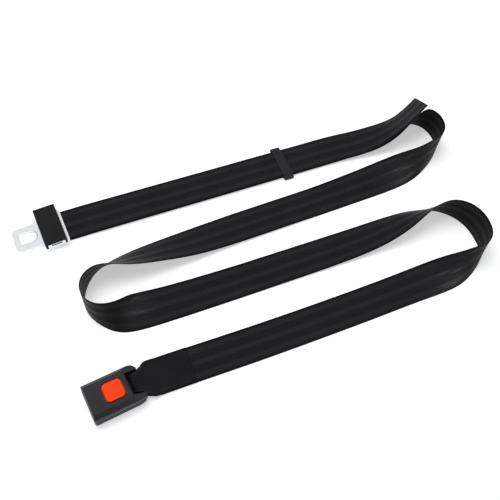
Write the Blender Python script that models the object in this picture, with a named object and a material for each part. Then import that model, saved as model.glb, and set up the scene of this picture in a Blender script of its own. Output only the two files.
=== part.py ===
"""Stretcher strap: 48 mm webbing with a push-button buckle, a slide-adjuster tongue and a keeper.

Metres, +Z up. The strap lies in flat S-turns and stands on edge at its three bends. Strand 1
runs along X. The box of the whole strap is centred on the origin and stands on z = 0.
"""
import math

import bmesh
import bpy
import numpy as np
from mathutils import Matrix, Vector

for old in list(bpy.data.objects):
    bpy.data.objects.remove(old, do_unlink=True)

MM = 0.001

# Webbing
WEBBING_WIDTH = 48.0 * MM
WEBBING_THICK = 1.2 * MM
LAYER_GAP = 0.3 * MM
SEAT_GAP = 0.3 * MM
STATION_STEP = 9.0 * MM
ROLL_MAX_STEPS = 8

# Where the strap lies: x and y in mm and roll in degrees. A positive roll lifts the right edge.
STRAP_ROUTE = [
    (46, 478.5, 0), (230, 478.5, 0), (340, 478.5, 0), (392, 478.5, 0), (430, 478.5, 0.5),
    (462, 477.8, 3), (496, 477, 9), (532, 477, 26), (557, 477.5, 46), (583, 474, 80), (592, 450, 90),
    (583, 427, 88), (564, 415, 78), (533, 405, 62), (502, 403, 39), (460, 403, 17),
    (400, 402, 4), (296, 399, -2), (205, 396, -5), (159, 394, -13), (109, 393, -28),
    (57, 392, -51), (21, 386, -79), (2, 367, -91), (0, 345, -89), (11, 328, -80),
    (31, 319, -60), (58, 318.5, -31), (104, 319, -5), (252, 318, 1), (350, 317.5, 4),
    (408, 318, 13), (460, 321, 35), (494, 323, 58), (532, 315, 82), (553, 292, 92),
    (557, 264, 94), (547, 238, 85), (523, 228, 67), (498, 225, 47), (470, 226, 23),
    (438, 227.5, 8), (360, 227.5, 1), (293, 227.5, 0), (190, 228.5, 0), (110, 230.5, 0),
]
# The loose tail above strand 1: x, y and height of the left edge in mm, and roll in degrees.
TAIL_ROUTE = [
    (46, 478.5, 0), (230, 478.5, 0), (340, 478.5, 0), (380, 478.5, 0), (414, 478.5, 0.2),
    (460, 475.6, 2), (500, 474.2, 15), (540, 477.6, 42), (573, 486.2, 51),
]
TAIL_RISE = [0, 0, 0, 0, 0.3, 2.8, 6.0, 16, 37.3]
STRAND_LIFT = 1.5 * MM
LIFT_FROM = (12.0 * MM, 44.0 * MM)
LIFT_UNTIL = (440.0 * MM, 490.0 * MM)

# Keeper
KEEPER_X = 337.0 * MM
KEEPER_Y = 478.5 * MM
KEEPER_LENGTH = 14.5 * MM
KEEPER_WALL = 1.2 * MM
KEEPER_END = 4.0 * MM
KEEPER_SIDE_GAP = 1.0 * MM

# Tongue and slide adjuster, measured from the rear edge of the plate
TONGUE_AT = (6.0 * MM, 479.3 * MM)
WEBBING_OFFSET = -0.5 * MM
TONGUE_YAW = math.radians(2.8)
TONGUE_LENGTH = 70.0 * MM
PLATE_THICK = 2.5 * MM
BLADE_WIDTH = 35.0 * MM
BLADE_ROOT_WIDTH = 40.0 * MM
BLADE_FLARE = 9.0 * MM
BLADE_CORNER = 7.5 * MM
FRAME_LENGTH = 34.0 * MM
WINDOW_FRONT_BAR = 8.5 * MM
WINDOW_WIDTH = 16.8 * MM
WINDOW_LENGTH = 21.4 * MM
REAR_STRIP = 9.0 * MM
PLATE_SLOT_LENGTH = 16.5 * MM
SLOT_SIDE_GAP = 1.3 * MM
FLANGE_THICK = 2.5 * MM
FLANGE_LENGTH = 23.4 * MM
FLANGE_REAR_GAP = 2.7 * MM
LOCK_BAR_RADIUS = 3.0 * MM
LOCK_BAR_TRAVEL = 3.0 * MM
LOCK_BAR_HEIGHT = 8.3 * MM
TANG_HEIGHT = 2.4 * MM
TANG_LENGTH = 11.5 * MM
TANG_GAP = 0.2 * MM
KNURL_COUNT = 18
KNURL_DEPTH = 0.25 * MM
COVER_WALL = 1.8 * MM
COVER_SIDE = 1.3 * MM
COVER_HEAD_GAP = 0.4 * MM
COVER_SKIRT_DROP = 10.5 * MM
COVER_END_DROP = 3.0 * MM

# Buckle, measured from the centre of its mouth
BUCKLE_AT = (-33.5 * MM, 223.5 * MM)
BUCKLE_YAW = math.radians(5.5)
BUCKLE_LENGTH = 69.0 * MM
BUCKLE_HEIGHT = 26.0 * MM
HOUSING_MARGIN = 6.5 * MM
HOUSING_WALL = 1.6 * MM
HOUSING_FLOOR = 2.2 * MM
HOUSING_ROOF = 2.4 * MM
HOUSING_DRAFT = 0.45 * MM
BOTTOM_ROUND_WIDE = 0.6 * MM
BOTTOM_ROUND_HIGH = 1.2 * MM
TOP_CHAMFER_WIDE = 5.0 * MM
TOP_CHAMFER_HIGH = 6.5 * MM
HOUSING_CORNER = 3.0 * MM
REAR_SLOPE_LENGTH = 17.5 * MM
REAR_STEP = 2.5 * MM
REAR_SLOPE_DROP = 8.0 * MM
TAPER_LENGTH = 12.0 * MM
TAPER_IN = 5.5 * MM
TAPER_SHARE = 0.25
PARTING_GAP = 0.3 * MM
MOUTH_HEIGHT = 4.3 * MM
RUN_GAP = 0.4 * MM
FRAME_THICK = 2.0 * MM
FRAME_FLANGE_THICK = 1.8 * MM
FRAME_FRONT = 9.0 * MM
FRAME_FLANGE_FRONT = 29.5 * MM
FRAME_REAR_INSET = 5.8 * MM
LATCH_SPRING_HEIGHT = 4.3 * MM
LATCH_THICK = 2.0 * MM
LATCH_FRONT = 19.0 * MM
LATCH_EAR = (22.5 * MM, 28.5 * MM)
LATCH_NOSE_WIDTH = 13.0 * MM
HOOK_REAR = 25.3 * MM
HOOK_LENGTH = 3.0 * MM
HOOK_OVER = 0.9 * MM
PIN_INSET = 19.0 * MM
PIN_RADIUS = 2.0 * MM
PIN_GAP = 0.1 * MM
KNUCKLE_RADIUS = 3.2 * MM
BUTTON_SIZE = 23.5 * MM
BUTTON_CORNER = 4.5 * MM
BUTTON_SETBACK = 17.5 * MM
BUTTON_PROUD = 0.7 * MM
BUTTON_TRAVEL = 3.4 * MM
BUTTON_GAP = 0.7 * MM
BUTTON_SHOULDER = 1.3 * MM
CARRIER_FRONT = 20.5 * MM
CARRIER_REAR_GAP = 5.5 * MM
CARRIER_THICK = 1.6 * MM
LEG_X = (23.0 * MM, 28.0 * MM)
LEG_THICK = 1.5 * MM
EJECTOR_LENGTH = 7.5 * MM
EJECTOR_TRAVEL = 9.0 * MM
EJECTOR_TAB = 2.2 * MM
SPRING_SEAT_INSET = 19.4 * MM
SPRING_SEAT_THICK = 1.6 * MM
WEBBING_BAR_INSET = 8.8 * MM
WEBBING_BAR_RADIUS = 2.0 * MM
WEBBING_BAR_HEIGHT = 10.0 * MM
THROAT_GAP = 0.4 * MM
FOLDED_THICK = 1.5 * MM
WIDEN_FROM = 0.5 * MM
WIDEN_OVER = 14.0 * MM
THROAT_FRONT_IN = 9.6 * MM
THROAT_REAR_IN = 7.7 * MM
SEWN_ROUTE = [(50, 231.2), (74, 231.2), (100, 230.7)]
SEWN_FLAT_X = 62.0 * MM
SCREW_FRONT_IN = (5.5 * MM, 4.0 * MM)
SCREW_REAR_IN = (3.6 * MM, 6.0 * MM)
SCREW_RADIUS = 0.8 * MM
SCREW_GAP = 0.05 * MM
SCREW_HEAD_RADIUS = 1.35 * MM
SCREW_HEAD_HIGH = 1.4 * MM
SCREW_SUNK = 0.4 * MM
SCREW_BITE = 3.2 * MM
SCREW_RECESS = 0.55 * MM
BOSS_RADIUS = 1.6 * MM


def material(name, colour, roughness, metallic=0.0):
    """Principled surface with the colour, roughness and metallic value of one finish."""
    finish = bpy.data.materials.new(name)
    finish.use_nodes = True
    shader = finish.node_tree.nodes["Principled BSDF"]
    shader.inputs["Base Color"].default_value = (*colour, 1.0)
    shader.inputs["Roughness"].default_value = roughness
    shader.inputs["Metallic"].default_value = metallic
    return finish


WEBBING_BLACK = material("woven_polyester", (0.012, 0.012, 0.013), 0.75)
ABS_BLACK = material("moulded_abs_black", (0.035, 0.035, 0.037), 0.5)
KEEPER_GREY = material("moulded_keeper", (0.04, 0.04, 0.042), 0.55)
BUTTON_RED = material("moulded_button_red", (1.0, 0.07, 0.018), 0.4)
BRIGHT_STEEL = material("chromed_steel", (0.8, 0.81, 0.83), 0.22, 1.0)
PLAIN_STEEL = material("zinc_plated_steel", (0.55, 0.55, 0.56), 0.35, 1.0)
BLACK_STEEL = material("phosphated_black_steel", (0.028, 0.029, 0.03), 0.45, 1.0)
SPRING_STEEL = material("spring_wire", (0.4, 0.4, 0.42), 0.3, 1.0)
EJECTOR_NYLON = material("moulded_nylon", (0.6, 0.6, 0.58), 0.5)


def empty(name, location, turn=Matrix()):
    """Empty that carries the pieces of one group."""
    holder = bpy.data.objects.new(name, None)
    holder.matrix_world = Matrix.Translation(location) @ turn
    bpy.context.scene.collection.objects.link(holder)
    return holder


def mesh_object(name, build, finish, parent):
    """Named object from bmesh, with its normals pointing out."""
    bmesh.ops.recalc_face_normals(build, faces=build.faces)
    mesh = bpy.data.meshes.new(name)
    build.to_mesh(mesh)
    build.free()
    if finish:
        mesh.materials.append(finish)
    piece = bpy.data.objects.new(name, mesh)
    bpy.context.scene.collection.objects.link(piece)
    piece.parent = parent
    return piece


def loft(name, rings, finish, parent):
    """Closed solid through rings of equally many points, capped at both ends."""
    build = bmesh.new()
    loops = [[build.verts.new(point) for point in ring] for ring in rings]
    count = len(loops[0])
    for below, above in zip(loops, loops[1:]):
        for i in range(count):
            j = (i + 1) % count
            build.faces.new((below[i], below[j], above[j], above[i]))
    build.faces.new(loops[0][::-1])
    build.faces.new(loops[-1])
    return mesh_object(name, build, finish, parent)


def prism(name, outline, low, high, finish, parent):
    """Outline in x and y, extruded from low to high."""
    rings = [[(x, y, z) for x, y in outline] for z in (low, high)]
    return loft(name, rings, finish, parent)


def side_prism(name, outline, left, right, finish, parent):
    """Outline in x and z, extruded along y from left to right."""
    rings = [[(x, y, z) for x, z in outline] for y in (left, right)]
    return loft(name, rings, finish, parent)


def box(name, x_span, y_span, z_span, finish, parent):
    """Box between two values on each axis."""
    (x0, x1), (y0, y1) = x_span, y_span
    outline = [(x0, y0), (x1, y0), (x1, y1), (x0, y1)]
    return prism(name, outline, z_span[0], z_span[1], finish, parent)


def cross_rod(name, x, z, radius, half_length, sides, finish, parent):
    """Round rod along y."""
    turn = 2 * math.pi / sides
    outline = [(x + radius * math.cos(i * turn), z + radius * math.sin(i * turn)) for i in range(sides)]
    return side_prism(name, outline, -half_length, half_length, finish, parent)


def arc(centre, radius, start, end, steps):
    """Points of an arc, in degrees, ends included."""
    angles = [math.radians(start + (end - start) * i / steps) for i in range(steps + 1)]
    return [(centre[0] + radius * math.cos(a), centre[1] + radius * math.sin(a)) for a in angles]


def rounded_rectangle(centre_x, length, width, radius, steps=4):
    """Outline of a rounded rectangle centred on (centre_x, 0)."""
    dx, dy = length / 2 - radius, width / 2 - radius
    points = []
    for sx, sy, start in ((1, 1, 0), (-1, 1, 90), (-1, -1, 180), (1, -1, 270)):
        points += arc((centre_x + sx * dx, sy * dy), radius, start, start + 90, steps)
    return points


def apply_boolean(target, other, operation):
    """Live Boolean with a hidden partner."""
    step = target.modifiers.new(operation.lower() + "_" + other.name, "BOOLEAN")
    step.operation = operation
    step.solver = "EXACT"
    step.object = other
    other.hide_render = True
    other.display_type = "WIRE"


def cut(target, *cutters):
    """Take each cutter out of the target."""
    for cutter in cutters:
        apply_boolean(target, cutter, "DIFFERENCE")


def fuse(target, *others):
    """Join each partner to the target."""
    for other in others:
        apply_boolean(target, other, "UNION")


def bevel(piece, width, segments=2):
    """Rounded edges on all corners sharper than 40 degrees."""
    step = piece.modifiers.new("edge_round", "BEVEL")
    step.width = width
    step.segments = segments
    step.limit_method = "ANGLE"
    step.angle_limit = math.radians(40)


def shade_round(piece, degrees=35):
    """Smooth shading that keeps the sharp edges."""
    piece.data.shade_smooth()
    piece.data.set_sharp_from_angle(angle=math.radians(degrees))


def put_origin(piece, point):
    """Move the object's origin to a point, with the shape where it was."""
    piece.data.transform(Matrix.Translation(-Vector(point)))
    piece.location = point


def coil(name, start, axis, length, mean_radius, wire, turns, parent, around=10, sides=6):
    """Compression spring: round wire on a helix, its two end turns closed up."""
    start = Vector(start)
    axis = Vector(axis).normalized()
    side = axis.orthogonal().normalized()
    other = axis.cross(side)
    count = turns * around
    reach = length - 2 * wire
    build = bmesh.new()
    rings = []
    for i in range(count + 1):
        angle = 2 * math.pi * i / around
        share = min(max((i - around) / (count - 2 * around), 0.0), 1.0)
        lead = wire * 1.06 * (min(i, around) + max(i - count + around, 0)) / around
        along = wire * 0.5 + lead + share * (reach - 1.12 * wire)
        out = side * math.cos(angle) + other * math.sin(angle)
        middle = start + axis * along + out * mean_radius
        ring = []
        for k in range(sides):
            turn = 2 * math.pi * k / sides
            ring.append(build.verts.new(middle + (out * math.cos(turn) + axis * math.sin(turn)) * wire / 2))
        rings.append(ring)
    for below, above in zip(rings, rings[1:]):
        for k in range(sides):
            j = (k + 1) % sides
            build.faces.new((below[k], below[j], above[j], above[k]))
    build.faces.new(rings[0][::-1])
    build.faces.new(rings[-1])
    piece = mesh_object(name, build, SPRING_STEEL, parent)
    shade_round(piece, 60)
    return piece


# Levels of the buckle, from its floor up
frame_low = HOUSING_FLOOR + SEAT_GAP
frame_high = frame_low + FRAME_THICK
latch_low = frame_high + LATCH_SPRING_HEIGHT
latch_high = latch_low + LATCH_THICK
blade_low = latch_high + RUN_GAP + SEAT_GAP
blade_high = blade_low + PLATE_THICK
parting = blade_low - RUN_GAP
mouth_high = parting - PARTING_GAP + MOUTH_HEIGHT
hook_high = blade_high + HOOK_OVER
flange_high = hook_high + RUN_GAP
carrier_low = flange_high + RUN_GAP + BUTTON_TRAVEL
carrier_high = carrier_low + CARRIER_THICK
roof_low = BUCKLE_HEIGHT - HOUSING_ROOF
blade_half = BLADE_WIDTH / 2
leg_in = blade_half + RUN_GAP
leg_out = leg_in + LEG_THICK
flange_out = leg_in + FRAME_FLANGE_THICK
cavity_half = flange_out + RUN_GAP
housing_half = blade_half + HOUSING_MARGIN
throat_front_half = housing_half - THROAT_FRONT_IN
throat_rear_half = housing_half - THROAT_REAR_IN
fold_width = 2 * (throat_front_half - THROAT_GAP)
slope_start = BUCKLE_LENGTH - REAR_SLOPE_LENGTH
button_x = slope_start - BUTTON_SETBACK
taper_start = BUCKLE_LENGTH - TAPER_LENGTH
frame_rear = BUCKLE_LENGTH - FRAME_REAR_INSET
pin_x = BUCKLE_LENGTH - PIN_INSET
spring_seat_x = BUCKLE_LENGTH - SPRING_SEAT_INSET
webbing_bar_x = BUCKLE_LENGTH - WEBBING_BAR_INSET
carrier_rear = slope_start - CARRIER_REAR_GAP
pin_z = latch_low - 0.25 * LATCH_THICK
screw_front = (SCREW_FRONT_IN[0], housing_half - SCREW_FRONT_IN[1])
screw_rear = (BUCKLE_LENGTH - SCREW_REAR_IN[0], housing_half - SCREW_REAR_IN[1])
screw_places = [(x, side * y) for x, y in (screw_front, screw_rear) for side in (1, -1)]
BAR_WRAP = WEBBING_BAR_RADIUS + SEAT_GAP + FOLDED_THICK / 2

strap_origin = empty("strap_origin", (0, 0, 0))
buckle_turn = Matrix.Rotation(BUCKLE_YAW, 4, "Z")
buckle_origin = empty("buckle_origin", (*BUCKLE_AT, 0), buckle_turn)
buckle_origin.parent = strap_origin

strip_low = 2 * WEBBING_THICK + 2 * LAYER_GAP
tongue_tilt = math.asin((strip_low - SEAT_GAP) / (TONGUE_LENGTH - REAR_STRIP))
plate_low = strip_low + REAR_STRIP * math.sin(tongue_tilt)
tongue_yaw = Matrix.Rotation(TONGUE_YAW, 4, "Z")
tongue_turn = tongue_yaw @ Matrix.Rotation(-tongue_tilt, 4, "Y")
tongue_level = Matrix.Translation((*TONGUE_AT, 0)) @ tongue_yaw
tongue_frame = Matrix.Translation((*TONGUE_AT, plate_low)) @ tongue_turn
tongue_origin = empty("tongue_origin", (*TONGUE_AT, plate_low), tongue_turn)
tongue_origin.parent = strap_origin


def housing_plan(side_inset, front_inset, rear_inset=0.0):
    """Plan outline of the buckle's housing: rounded mouth corners and a tapered rear."""
    half = housing_half - side_inset
    front = front_inset
    rear = BUCKLE_LENGTH - rear_inset
    upper = arc((front + HOUSING_CORNER, half - HOUSING_CORNER), HOUSING_CORNER, 180, 90, 3)
    taper_knee = taper_start + (rear - taper_start) * 0.65
    upper += [(taper_start, half), (taper_knee, half - TAPER_IN * TAPER_SHARE)]
    upper += [(rear, half - TAPER_IN)]
    lower = [(x, -y) for x, y in reversed(upper)]
    return upper + lower


def plan_ring(side_inset, front_inset, rear_inset, z):
    """The housing's plan as a ring at one height."""
    return [(x, y, z) for x, y in housing_plan(side_inset, front_inset, rear_inset)]


def boss(name, place, low, high):
    """Round post for a screw."""
    post = [(place[0] + x, place[1] + y) for x, y in arc((0, 0), BOSS_RADIUS, 0, 340, 17)]
    return prism(name, post, low, high, None, buckle_origin)


def bore(name, place, radius, low, high):
    """Round hole for a screw's shank or head."""
    hole = [(place[0] + x, place[1] + y) for x, y in arc((0, 0), radius, 0, 337.5, 15)]
    return prism(name, hole, low, high, None, buckle_origin)


def build_screws():
    """Four screws from below, each sunk in its counterbore, with a cross recess."""
    for number, (x, y) in enumerate(screw_places, 1):
        name = "housing_screw_" + str(number)
        head = [(x + a, y + b) for a, b in arc((0, 0), SCREW_HEAD_RADIUS, 0, 337.5, 15)]
        screw = prism(name, head, SCREW_SUNK, SCREW_SUNK + SCREW_HEAD_HIGH, PLAIN_STEEL, buckle_origin)
        shank_low = SCREW_SUNK + 0.8 * SCREW_HEAD_HIGH
        shank = bore("screw_shank", (x, y), SCREW_RADIUS, shank_low, parting + SCREW_BITE)
        wide, narrow = 0.9 * MM, 0.25 * MM
        slots = [box("cross_recess", (x - a, x + a), (y - b, y + b), (0.0, SCREW_SUNK + SCREW_RECESS),
                     None, buckle_origin) for a, b in ((wide, narrow), (narrow, wide))]
        fuse(screw, shank)
        cut(screw, *slots)
        shade_round(screw)


def build_lower_housing():
    """Bottom tray of the buckle, open at the throat and ending below the mouth."""
    top = parting - PARTING_GAP
    tray = loft("lower_housing", [
        plan_ring(BOTTOM_ROUND_WIDE, BOTTOM_ROUND_WIDE, BOTTOM_ROUND_WIDE, 0.0),
        plan_ring(0.0, 0.0, 0.0, BOTTOM_ROUND_HIGH),
        plan_ring(HOUSING_DRAFT, 0.3 * MM, 0.2 * MM, top),
    ], ABS_BLACK, buckle_origin)
    wall = HOUSING_WALL
    cavity = loft("lower_cavity", [
        plan_ring(HOUSING_DRAFT + wall, wall, wall, HOUSING_FLOOR),
        plan_ring(HOUSING_DRAFT + wall, wall, wall, top + wall),
    ], None, buckle_origin)
    throat = box("lower_throat", (BUCKLE_LENGTH - 3 * wall, BUCKLE_LENGTH + wall),
                 (-throat_rear_half, throat_rear_half), (HOUSING_FLOOR, top + wall), None, buckle_origin)
    posts = [boss("lower_boss", place, HOUSING_FLOOR - 0.5 * MM, top) for place in screw_places]
    hole_radius = SCREW_RADIUS + SCREW_GAP
    shanks = [bore("shank_hole", place, hole_radius, -wall, top + wall) for place in screw_places]
    seat_high = SCREW_SUNK + SCREW_HEAD_HIGH + SCREW_GAP
    seats = [bore("head_seat", place, SCREW_HEAD_RADIUS + 0.1 * MM, -wall, seat_high)
             for place in screw_places]
    cut(tray, cavity, throat)
    fuse(tray, *posts)
    cut(tray, *shanks, *seats)
    shade_round(tray)


def build_upper_housing():
    """Top shell: chamfered roof with the button's opening, mouth in front, open throat behind."""
    shell = loft("upper_housing", [
        plan_ring(HOUSING_DRAFT, 0.3 * MM, 0.2 * MM, parting),
        plan_ring(HOUSING_DRAFT * 2, 0.6 * MM, 0.4 * MM, BUCKLE_HEIGHT - TOP_CHAMFER_HIGH),
        plan_ring(HOUSING_DRAFT * 2 + TOP_CHAMFER_WIDE, 2.2 * MM, 0.6 * MM, BUCKLE_HEIGHT),
    ], ABS_BLACK, buckle_origin)
    wall = HOUSING_WALL
    cavity = loft("upper_cavity", [
        plan_ring(HOUSING_DRAFT + wall, wall, wall, parting - wall),
        plan_ring(HOUSING_DRAFT * 2 + wall, wall, wall, BUCKLE_HEIGHT - TOP_CHAMFER_HIGH - wall / 2),
        plan_ring(HOUSING_DRAFT * 2 + TOP_CHAMFER_WIDE + 0.2 * MM, wall * 2, wall, roof_low),
    ], None, buckle_origin)
    reach = REAR_SLOPE_LENGTH
    slope_high = BUCKLE_HEIGHT - REAR_STEP
    slope_low = slope_high - REAR_SLOPE_DROP
    beyond = 5 * MM
    slope = side_prism("rear_slope", [
        (slope_start, slope_high), (BUCKLE_LENGTH + beyond, slope_low - REAR_SLOPE_DROP * beyond / reach),
        (BUCKLE_LENGTH + beyond, BUCKLE_HEIGHT + beyond), (slope_start, BUCKLE_HEIGHT + beyond),
    ], -2 * housing_half, 2 * housing_half, None, buckle_origin)
    cavity_slope = side_prism("cavity_slope", [
        (slope_start - wall, slope_high - 1.2 * wall), (BUCKLE_LENGTH, slope_low - 1.2 * wall),
        (BUCKLE_LENGTH, BUCKLE_HEIGHT), (slope_start - wall, BUCKLE_HEIGHT),
    ], -housing_half, housing_half, None, buckle_origin)
    cut(cavity, cavity_slope)
    seat = box("spring_seat", (spring_seat_x, spring_seat_x + SPRING_SEAT_THICK),
               (-4 * MM, 4 * MM), (blade_low + 0.5 * MM, BUCKLE_HEIGHT), None, buckle_origin)
    cut(cavity, seat)
    mouth = box("mouth", (-wall, 2 * wall), (-leg_in, leg_in), (0.0, mouth_high), None, buckle_origin)
    hole_size = BUTTON_SIZE + 2 * BUTTON_GAP
    hole_outline = rounded_rectangle(button_x, hole_size, hole_size, BUTTON_CORNER + BUTTON_GAP)
    hole = prism("button_hole", hole_outline, roof_low - wall, BUCKLE_HEIGHT + wall, None, buckle_origin)
    throat_front = spring_seat_x + SPRING_SEAT_THICK + wall
    throat_rear = BUCKLE_LENGTH + wall
    throat = prism("upper_throat", [
        (throat_front, -throat_front_half), (throat_rear, -throat_rear_half),
        (throat_rear, throat_rear_half), (throat_front, throat_front_half),
    ], 0.0, BUCKLE_HEIGHT + wall, None, buckle_origin)
    front_top = BUCKLE_HEIGHT - TOP_CHAMFER_HIGH - 1.5 * MM
    rear_top = slope_high - REAR_SLOPE_DROP * (screw_rear[0] + BOSS_RADIUS - slope_start) / reach - 0.8 * MM
    posts = [boss("upper_boss", place, parting, front_top if place[0] < button_x else rear_top)
             for place in screw_places]
    hole_high = parting + SCREW_BITE + SEAT_GAP
    holes = [bore("screw_hole", place, SCREW_RADIUS + SCREW_GAP, parting - wall, hole_high)
             for place in screw_places]
    cut(shell, cavity, slope, mouth, hole, throat)
    fuse(shell, *posts)
    cut(shell, *holes)
    shade_round(shell)


def build_button():
    """Press button: cap, retaining shoulder, carrier plate and two legs that push the latch."""
    cap = prism("press_button", rounded_rectangle(button_x, BUTTON_SIZE, BUTTON_SIZE, BUTTON_CORNER),
                carrier_high - 0.5 * MM, BUCKLE_HEIGHT + BUTTON_PROUD, BUTTON_RED, buckle_origin)
    bevel(cap, 0.8 * MM)
    shoulder_size = BUTTON_SIZE + 2 * (BUTTON_GAP + BUTTON_SHOULDER)
    shoulder_outline = rounded_rectangle(button_x, shoulder_size, shoulder_size,
                                         BUTTON_CORNER + BUTTON_SHOULDER)
    shoulder = prism("button_shoulder", shoulder_outline, carrier_high - 0.5 * MM,
                     roof_low - SEAT_GAP, None, buckle_origin)
    carrier = box("button_carrier", (CARRIER_FRONT, carrier_rear), (-leg_out, leg_out),
                  (carrier_low, carrier_high), None, buckle_origin)
    legs = [box("button_leg", LEG_X, tuple(sorted((side * leg_in, side * leg_out))),
                (latch_high + SEAT_GAP, carrier_high - 0.5 * MM), None, buckle_origin) for side in (-1, 1)]
    fuse(cap, shoulder, carrier, *legs)
    put_origin(cap, (button_x, 0, BUCKLE_HEIGHT))
    shade_round(cap)


def build_frame():
    """Folded steel channel: base with a window under the latch, and flanges that hold the bars."""
    base = box("buckle_frame", (FRAME_FRONT, frame_rear), (-flange_out, flange_out),
               (frame_low, frame_high), BLACK_STEEL, buckle_origin)
    flanges = [box("frame_flange", (FRAME_FLANGE_FRONT, frame_rear),
                   tuple(sorted((side * leg_in, side * flange_out))),
                   (frame_low, flange_high), None, buckle_origin) for side in (-1, 1)]
    fuse(base, *flanges)
    window = box("latch_window", (LATCH_FRONT - 2 * MM, FRAME_FLANGE_FRONT + 3 * MM),
                 (-LATCH_NOSE_WIDTH / 2 - 2 * MM, LATCH_NOSE_WIDTH / 2 + 2 * MM), (0.0, latch_low),
                 None, buckle_origin)
    pin_hole = cross_rod("pin_hole", pin_x, pin_z, PIN_RADIUS + PIN_GAP, 2 * flange_out,
                         20, None, buckle_origin)
    bar_hole = cross_rod("bar_hole", webbing_bar_x, WEBBING_BAR_HEIGHT, WEBBING_BAR_RADIUS + PIN_GAP,
                         2 * flange_out, 20, None, buckle_origin)
    tab_reach = EJECTOR_TAB + EJECTOR_TRAVEL + SEAT_GAP
    tab_slot = box("tab_slot", (ejector_tab_x - SEAT_GAP, ejector_tab_x + tab_reach),
                   (-2 * flange_out, 2 * flange_out), (ejector_low + 0.5 * MM, ejector_low + 2.5 * MM),
                   None, buckle_origin)
    cut(base, window, pin_hole, bar_hole, tab_slot)
    shade_round(base)


def build_latch():
    """Latch plate on its pin: hook for the tongue's window, ears under the button's legs."""
    rear = pin_x - KNUCKLE_RADIUS * 0.5
    half = leg_in - RUN_GAP
    nose = LATCH_NOSE_WIDTH / 2
    outline = [(rear, half), (LATCH_EAR[1], half), (LATCH_EAR[1], leg_out), (LATCH_EAR[0], leg_out),
               (LATCH_EAR[0], nose), (LATCH_FRONT, nose)]
    outline += [(x, -y) for x, y in reversed(outline)]
    plate = prism("latch_plate", outline, latch_low, latch_high, BLACK_STEEL, buckle_origin)
    hook = side_prism("latch_hook", [
        (LATCH_FRONT + 0.5 * MM, latch_high - 0.5 * MM), (HOOK_REAR, latch_high - 0.5 * MM),
        (HOOK_REAR, hook_high), (HOOK_REAR - HOOK_LENGTH, hook_high),
        (LATCH_FRONT + 0.5 * MM, latch_high + 0.4 * MM),
    ], -nose, nose, None, buckle_origin)
    knuckle = cross_rod("latch_knuckle", pin_x, pin_z, KNUCKLE_RADIUS, half, 20, None, buckle_origin)
    fuse(plate, hook, knuckle)
    bore = cross_rod("latch_bore", pin_x, pin_z, PIN_RADIUS + PIN_GAP, 2 * half, 20, None, buckle_origin)
    cut(plate, bore)
    put_origin(plate, (pin_x, 0, pin_z))
    shade_round(plate)


def build_rods():
    """Latch pin and webbing bar, both held in the frame's flanges."""
    reach = flange_out + 0.1 * MM
    pin = cross_rod("latch_pin", pin_x, pin_z, PIN_RADIUS, reach, 20, BLACK_STEEL, buckle_origin)
    bar = cross_rod("webbing_bar", webbing_bar_x, WEBBING_BAR_HEIGHT, WEBBING_BAR_RADIUS, reach,
                    20, BLACK_STEEL, buckle_origin)
    for rod in (pin, bar):
        shade_round(rod)


ejector_x = HOOK_REAR + 0.7 * MM
ejector_low = blade_low + 0.3 * MM
ejector_high = flange_high - 0.5 * MM
ejector_tab_x = ejector_x + EJECTOR_LENGTH - EJECTOR_TAB


def build_ejector():
    """Sliding block that pushes the tongue out, with tabs in the frame's slots."""
    half = leg_in - RUN_GAP
    block = box("ejector", (ejector_x, ejector_x + EJECTOR_LENGTH), (-half, half),
                (ejector_low, ejector_high), EJECTOR_NYLON, buckle_origin)
    tabs = box("ejector_tabs", (ejector_tab_x, ejector_tab_x + EJECTOR_TAB), (-flange_out, flange_out),
               (ejector_low + 0.7 * MM, ejector_low + 2.3 * MM), None, buckle_origin)
    fuse(block, tabs)
    put_origin(block, (ejector_x + EJECTOR_LENGTH, 0, (ejector_low + ejector_high) / 2))
    start = ejector_x + EJECTOR_LENGTH + SEAT_GAP
    coil("ejector_spring", (start, 0, (ejector_low + ejector_high) / 2), (1, 0, 0),
         spring_seat_x - SEAT_GAP - start, 1.2 * MM, 0.4 * MM, 9, buckle_origin, sides=5)


def build_latch_springs():
    """Two short coils that push the latch and the button back up."""
    for name, side in (("latch_spring_left", 1), ("latch_spring_right", -1)):
        coil(name, (pin_x - 9 * MM, side * 9 * MM, frame_high + SEAT_GAP), (0, 0, 1),
             LATCH_SPRING_HEIGHT - 2 * SEAT_GAP, 2.4 * MM, 0.5 * MM, 4, buckle_origin, sides=5)


web_half_run = WEBBING_WIDTH / 2 + SLOT_SIDE_GAP
tongue_flange_in = web_half_run + 1.2 * MM
tongue_flange_out = tongue_flange_in + FLANGE_THICK
slot_rear = -REAR_STRIP
slot_front = slot_rear - PLATE_SLOT_LENGTH
loop_offset = LOCK_BAR_RADIUS + SEAT_GAP + WEBBING_THICK / 2
rear_leg_x = slot_rear - SEAT_GAP - 2.2 * MM - WEBBING_THICK / 2
bar_rear_x = rear_leg_x - loop_offset
bar_rest_x = bar_rear_x - LOCK_BAR_TRAVEL
front_leg_x = bar_rest_x - loop_offset
loop_top = LOCK_BAR_HEIGHT + loop_offset
cover_low = loop_top + WEBBING_THICK / 2 + COVER_HEAD_GAP
cover_high = cover_low + COVER_WALL
flange_rear = slot_rear + FLANGE_REAR_GAP
flange_front = flange_rear - FLANGE_LENGTH


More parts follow.
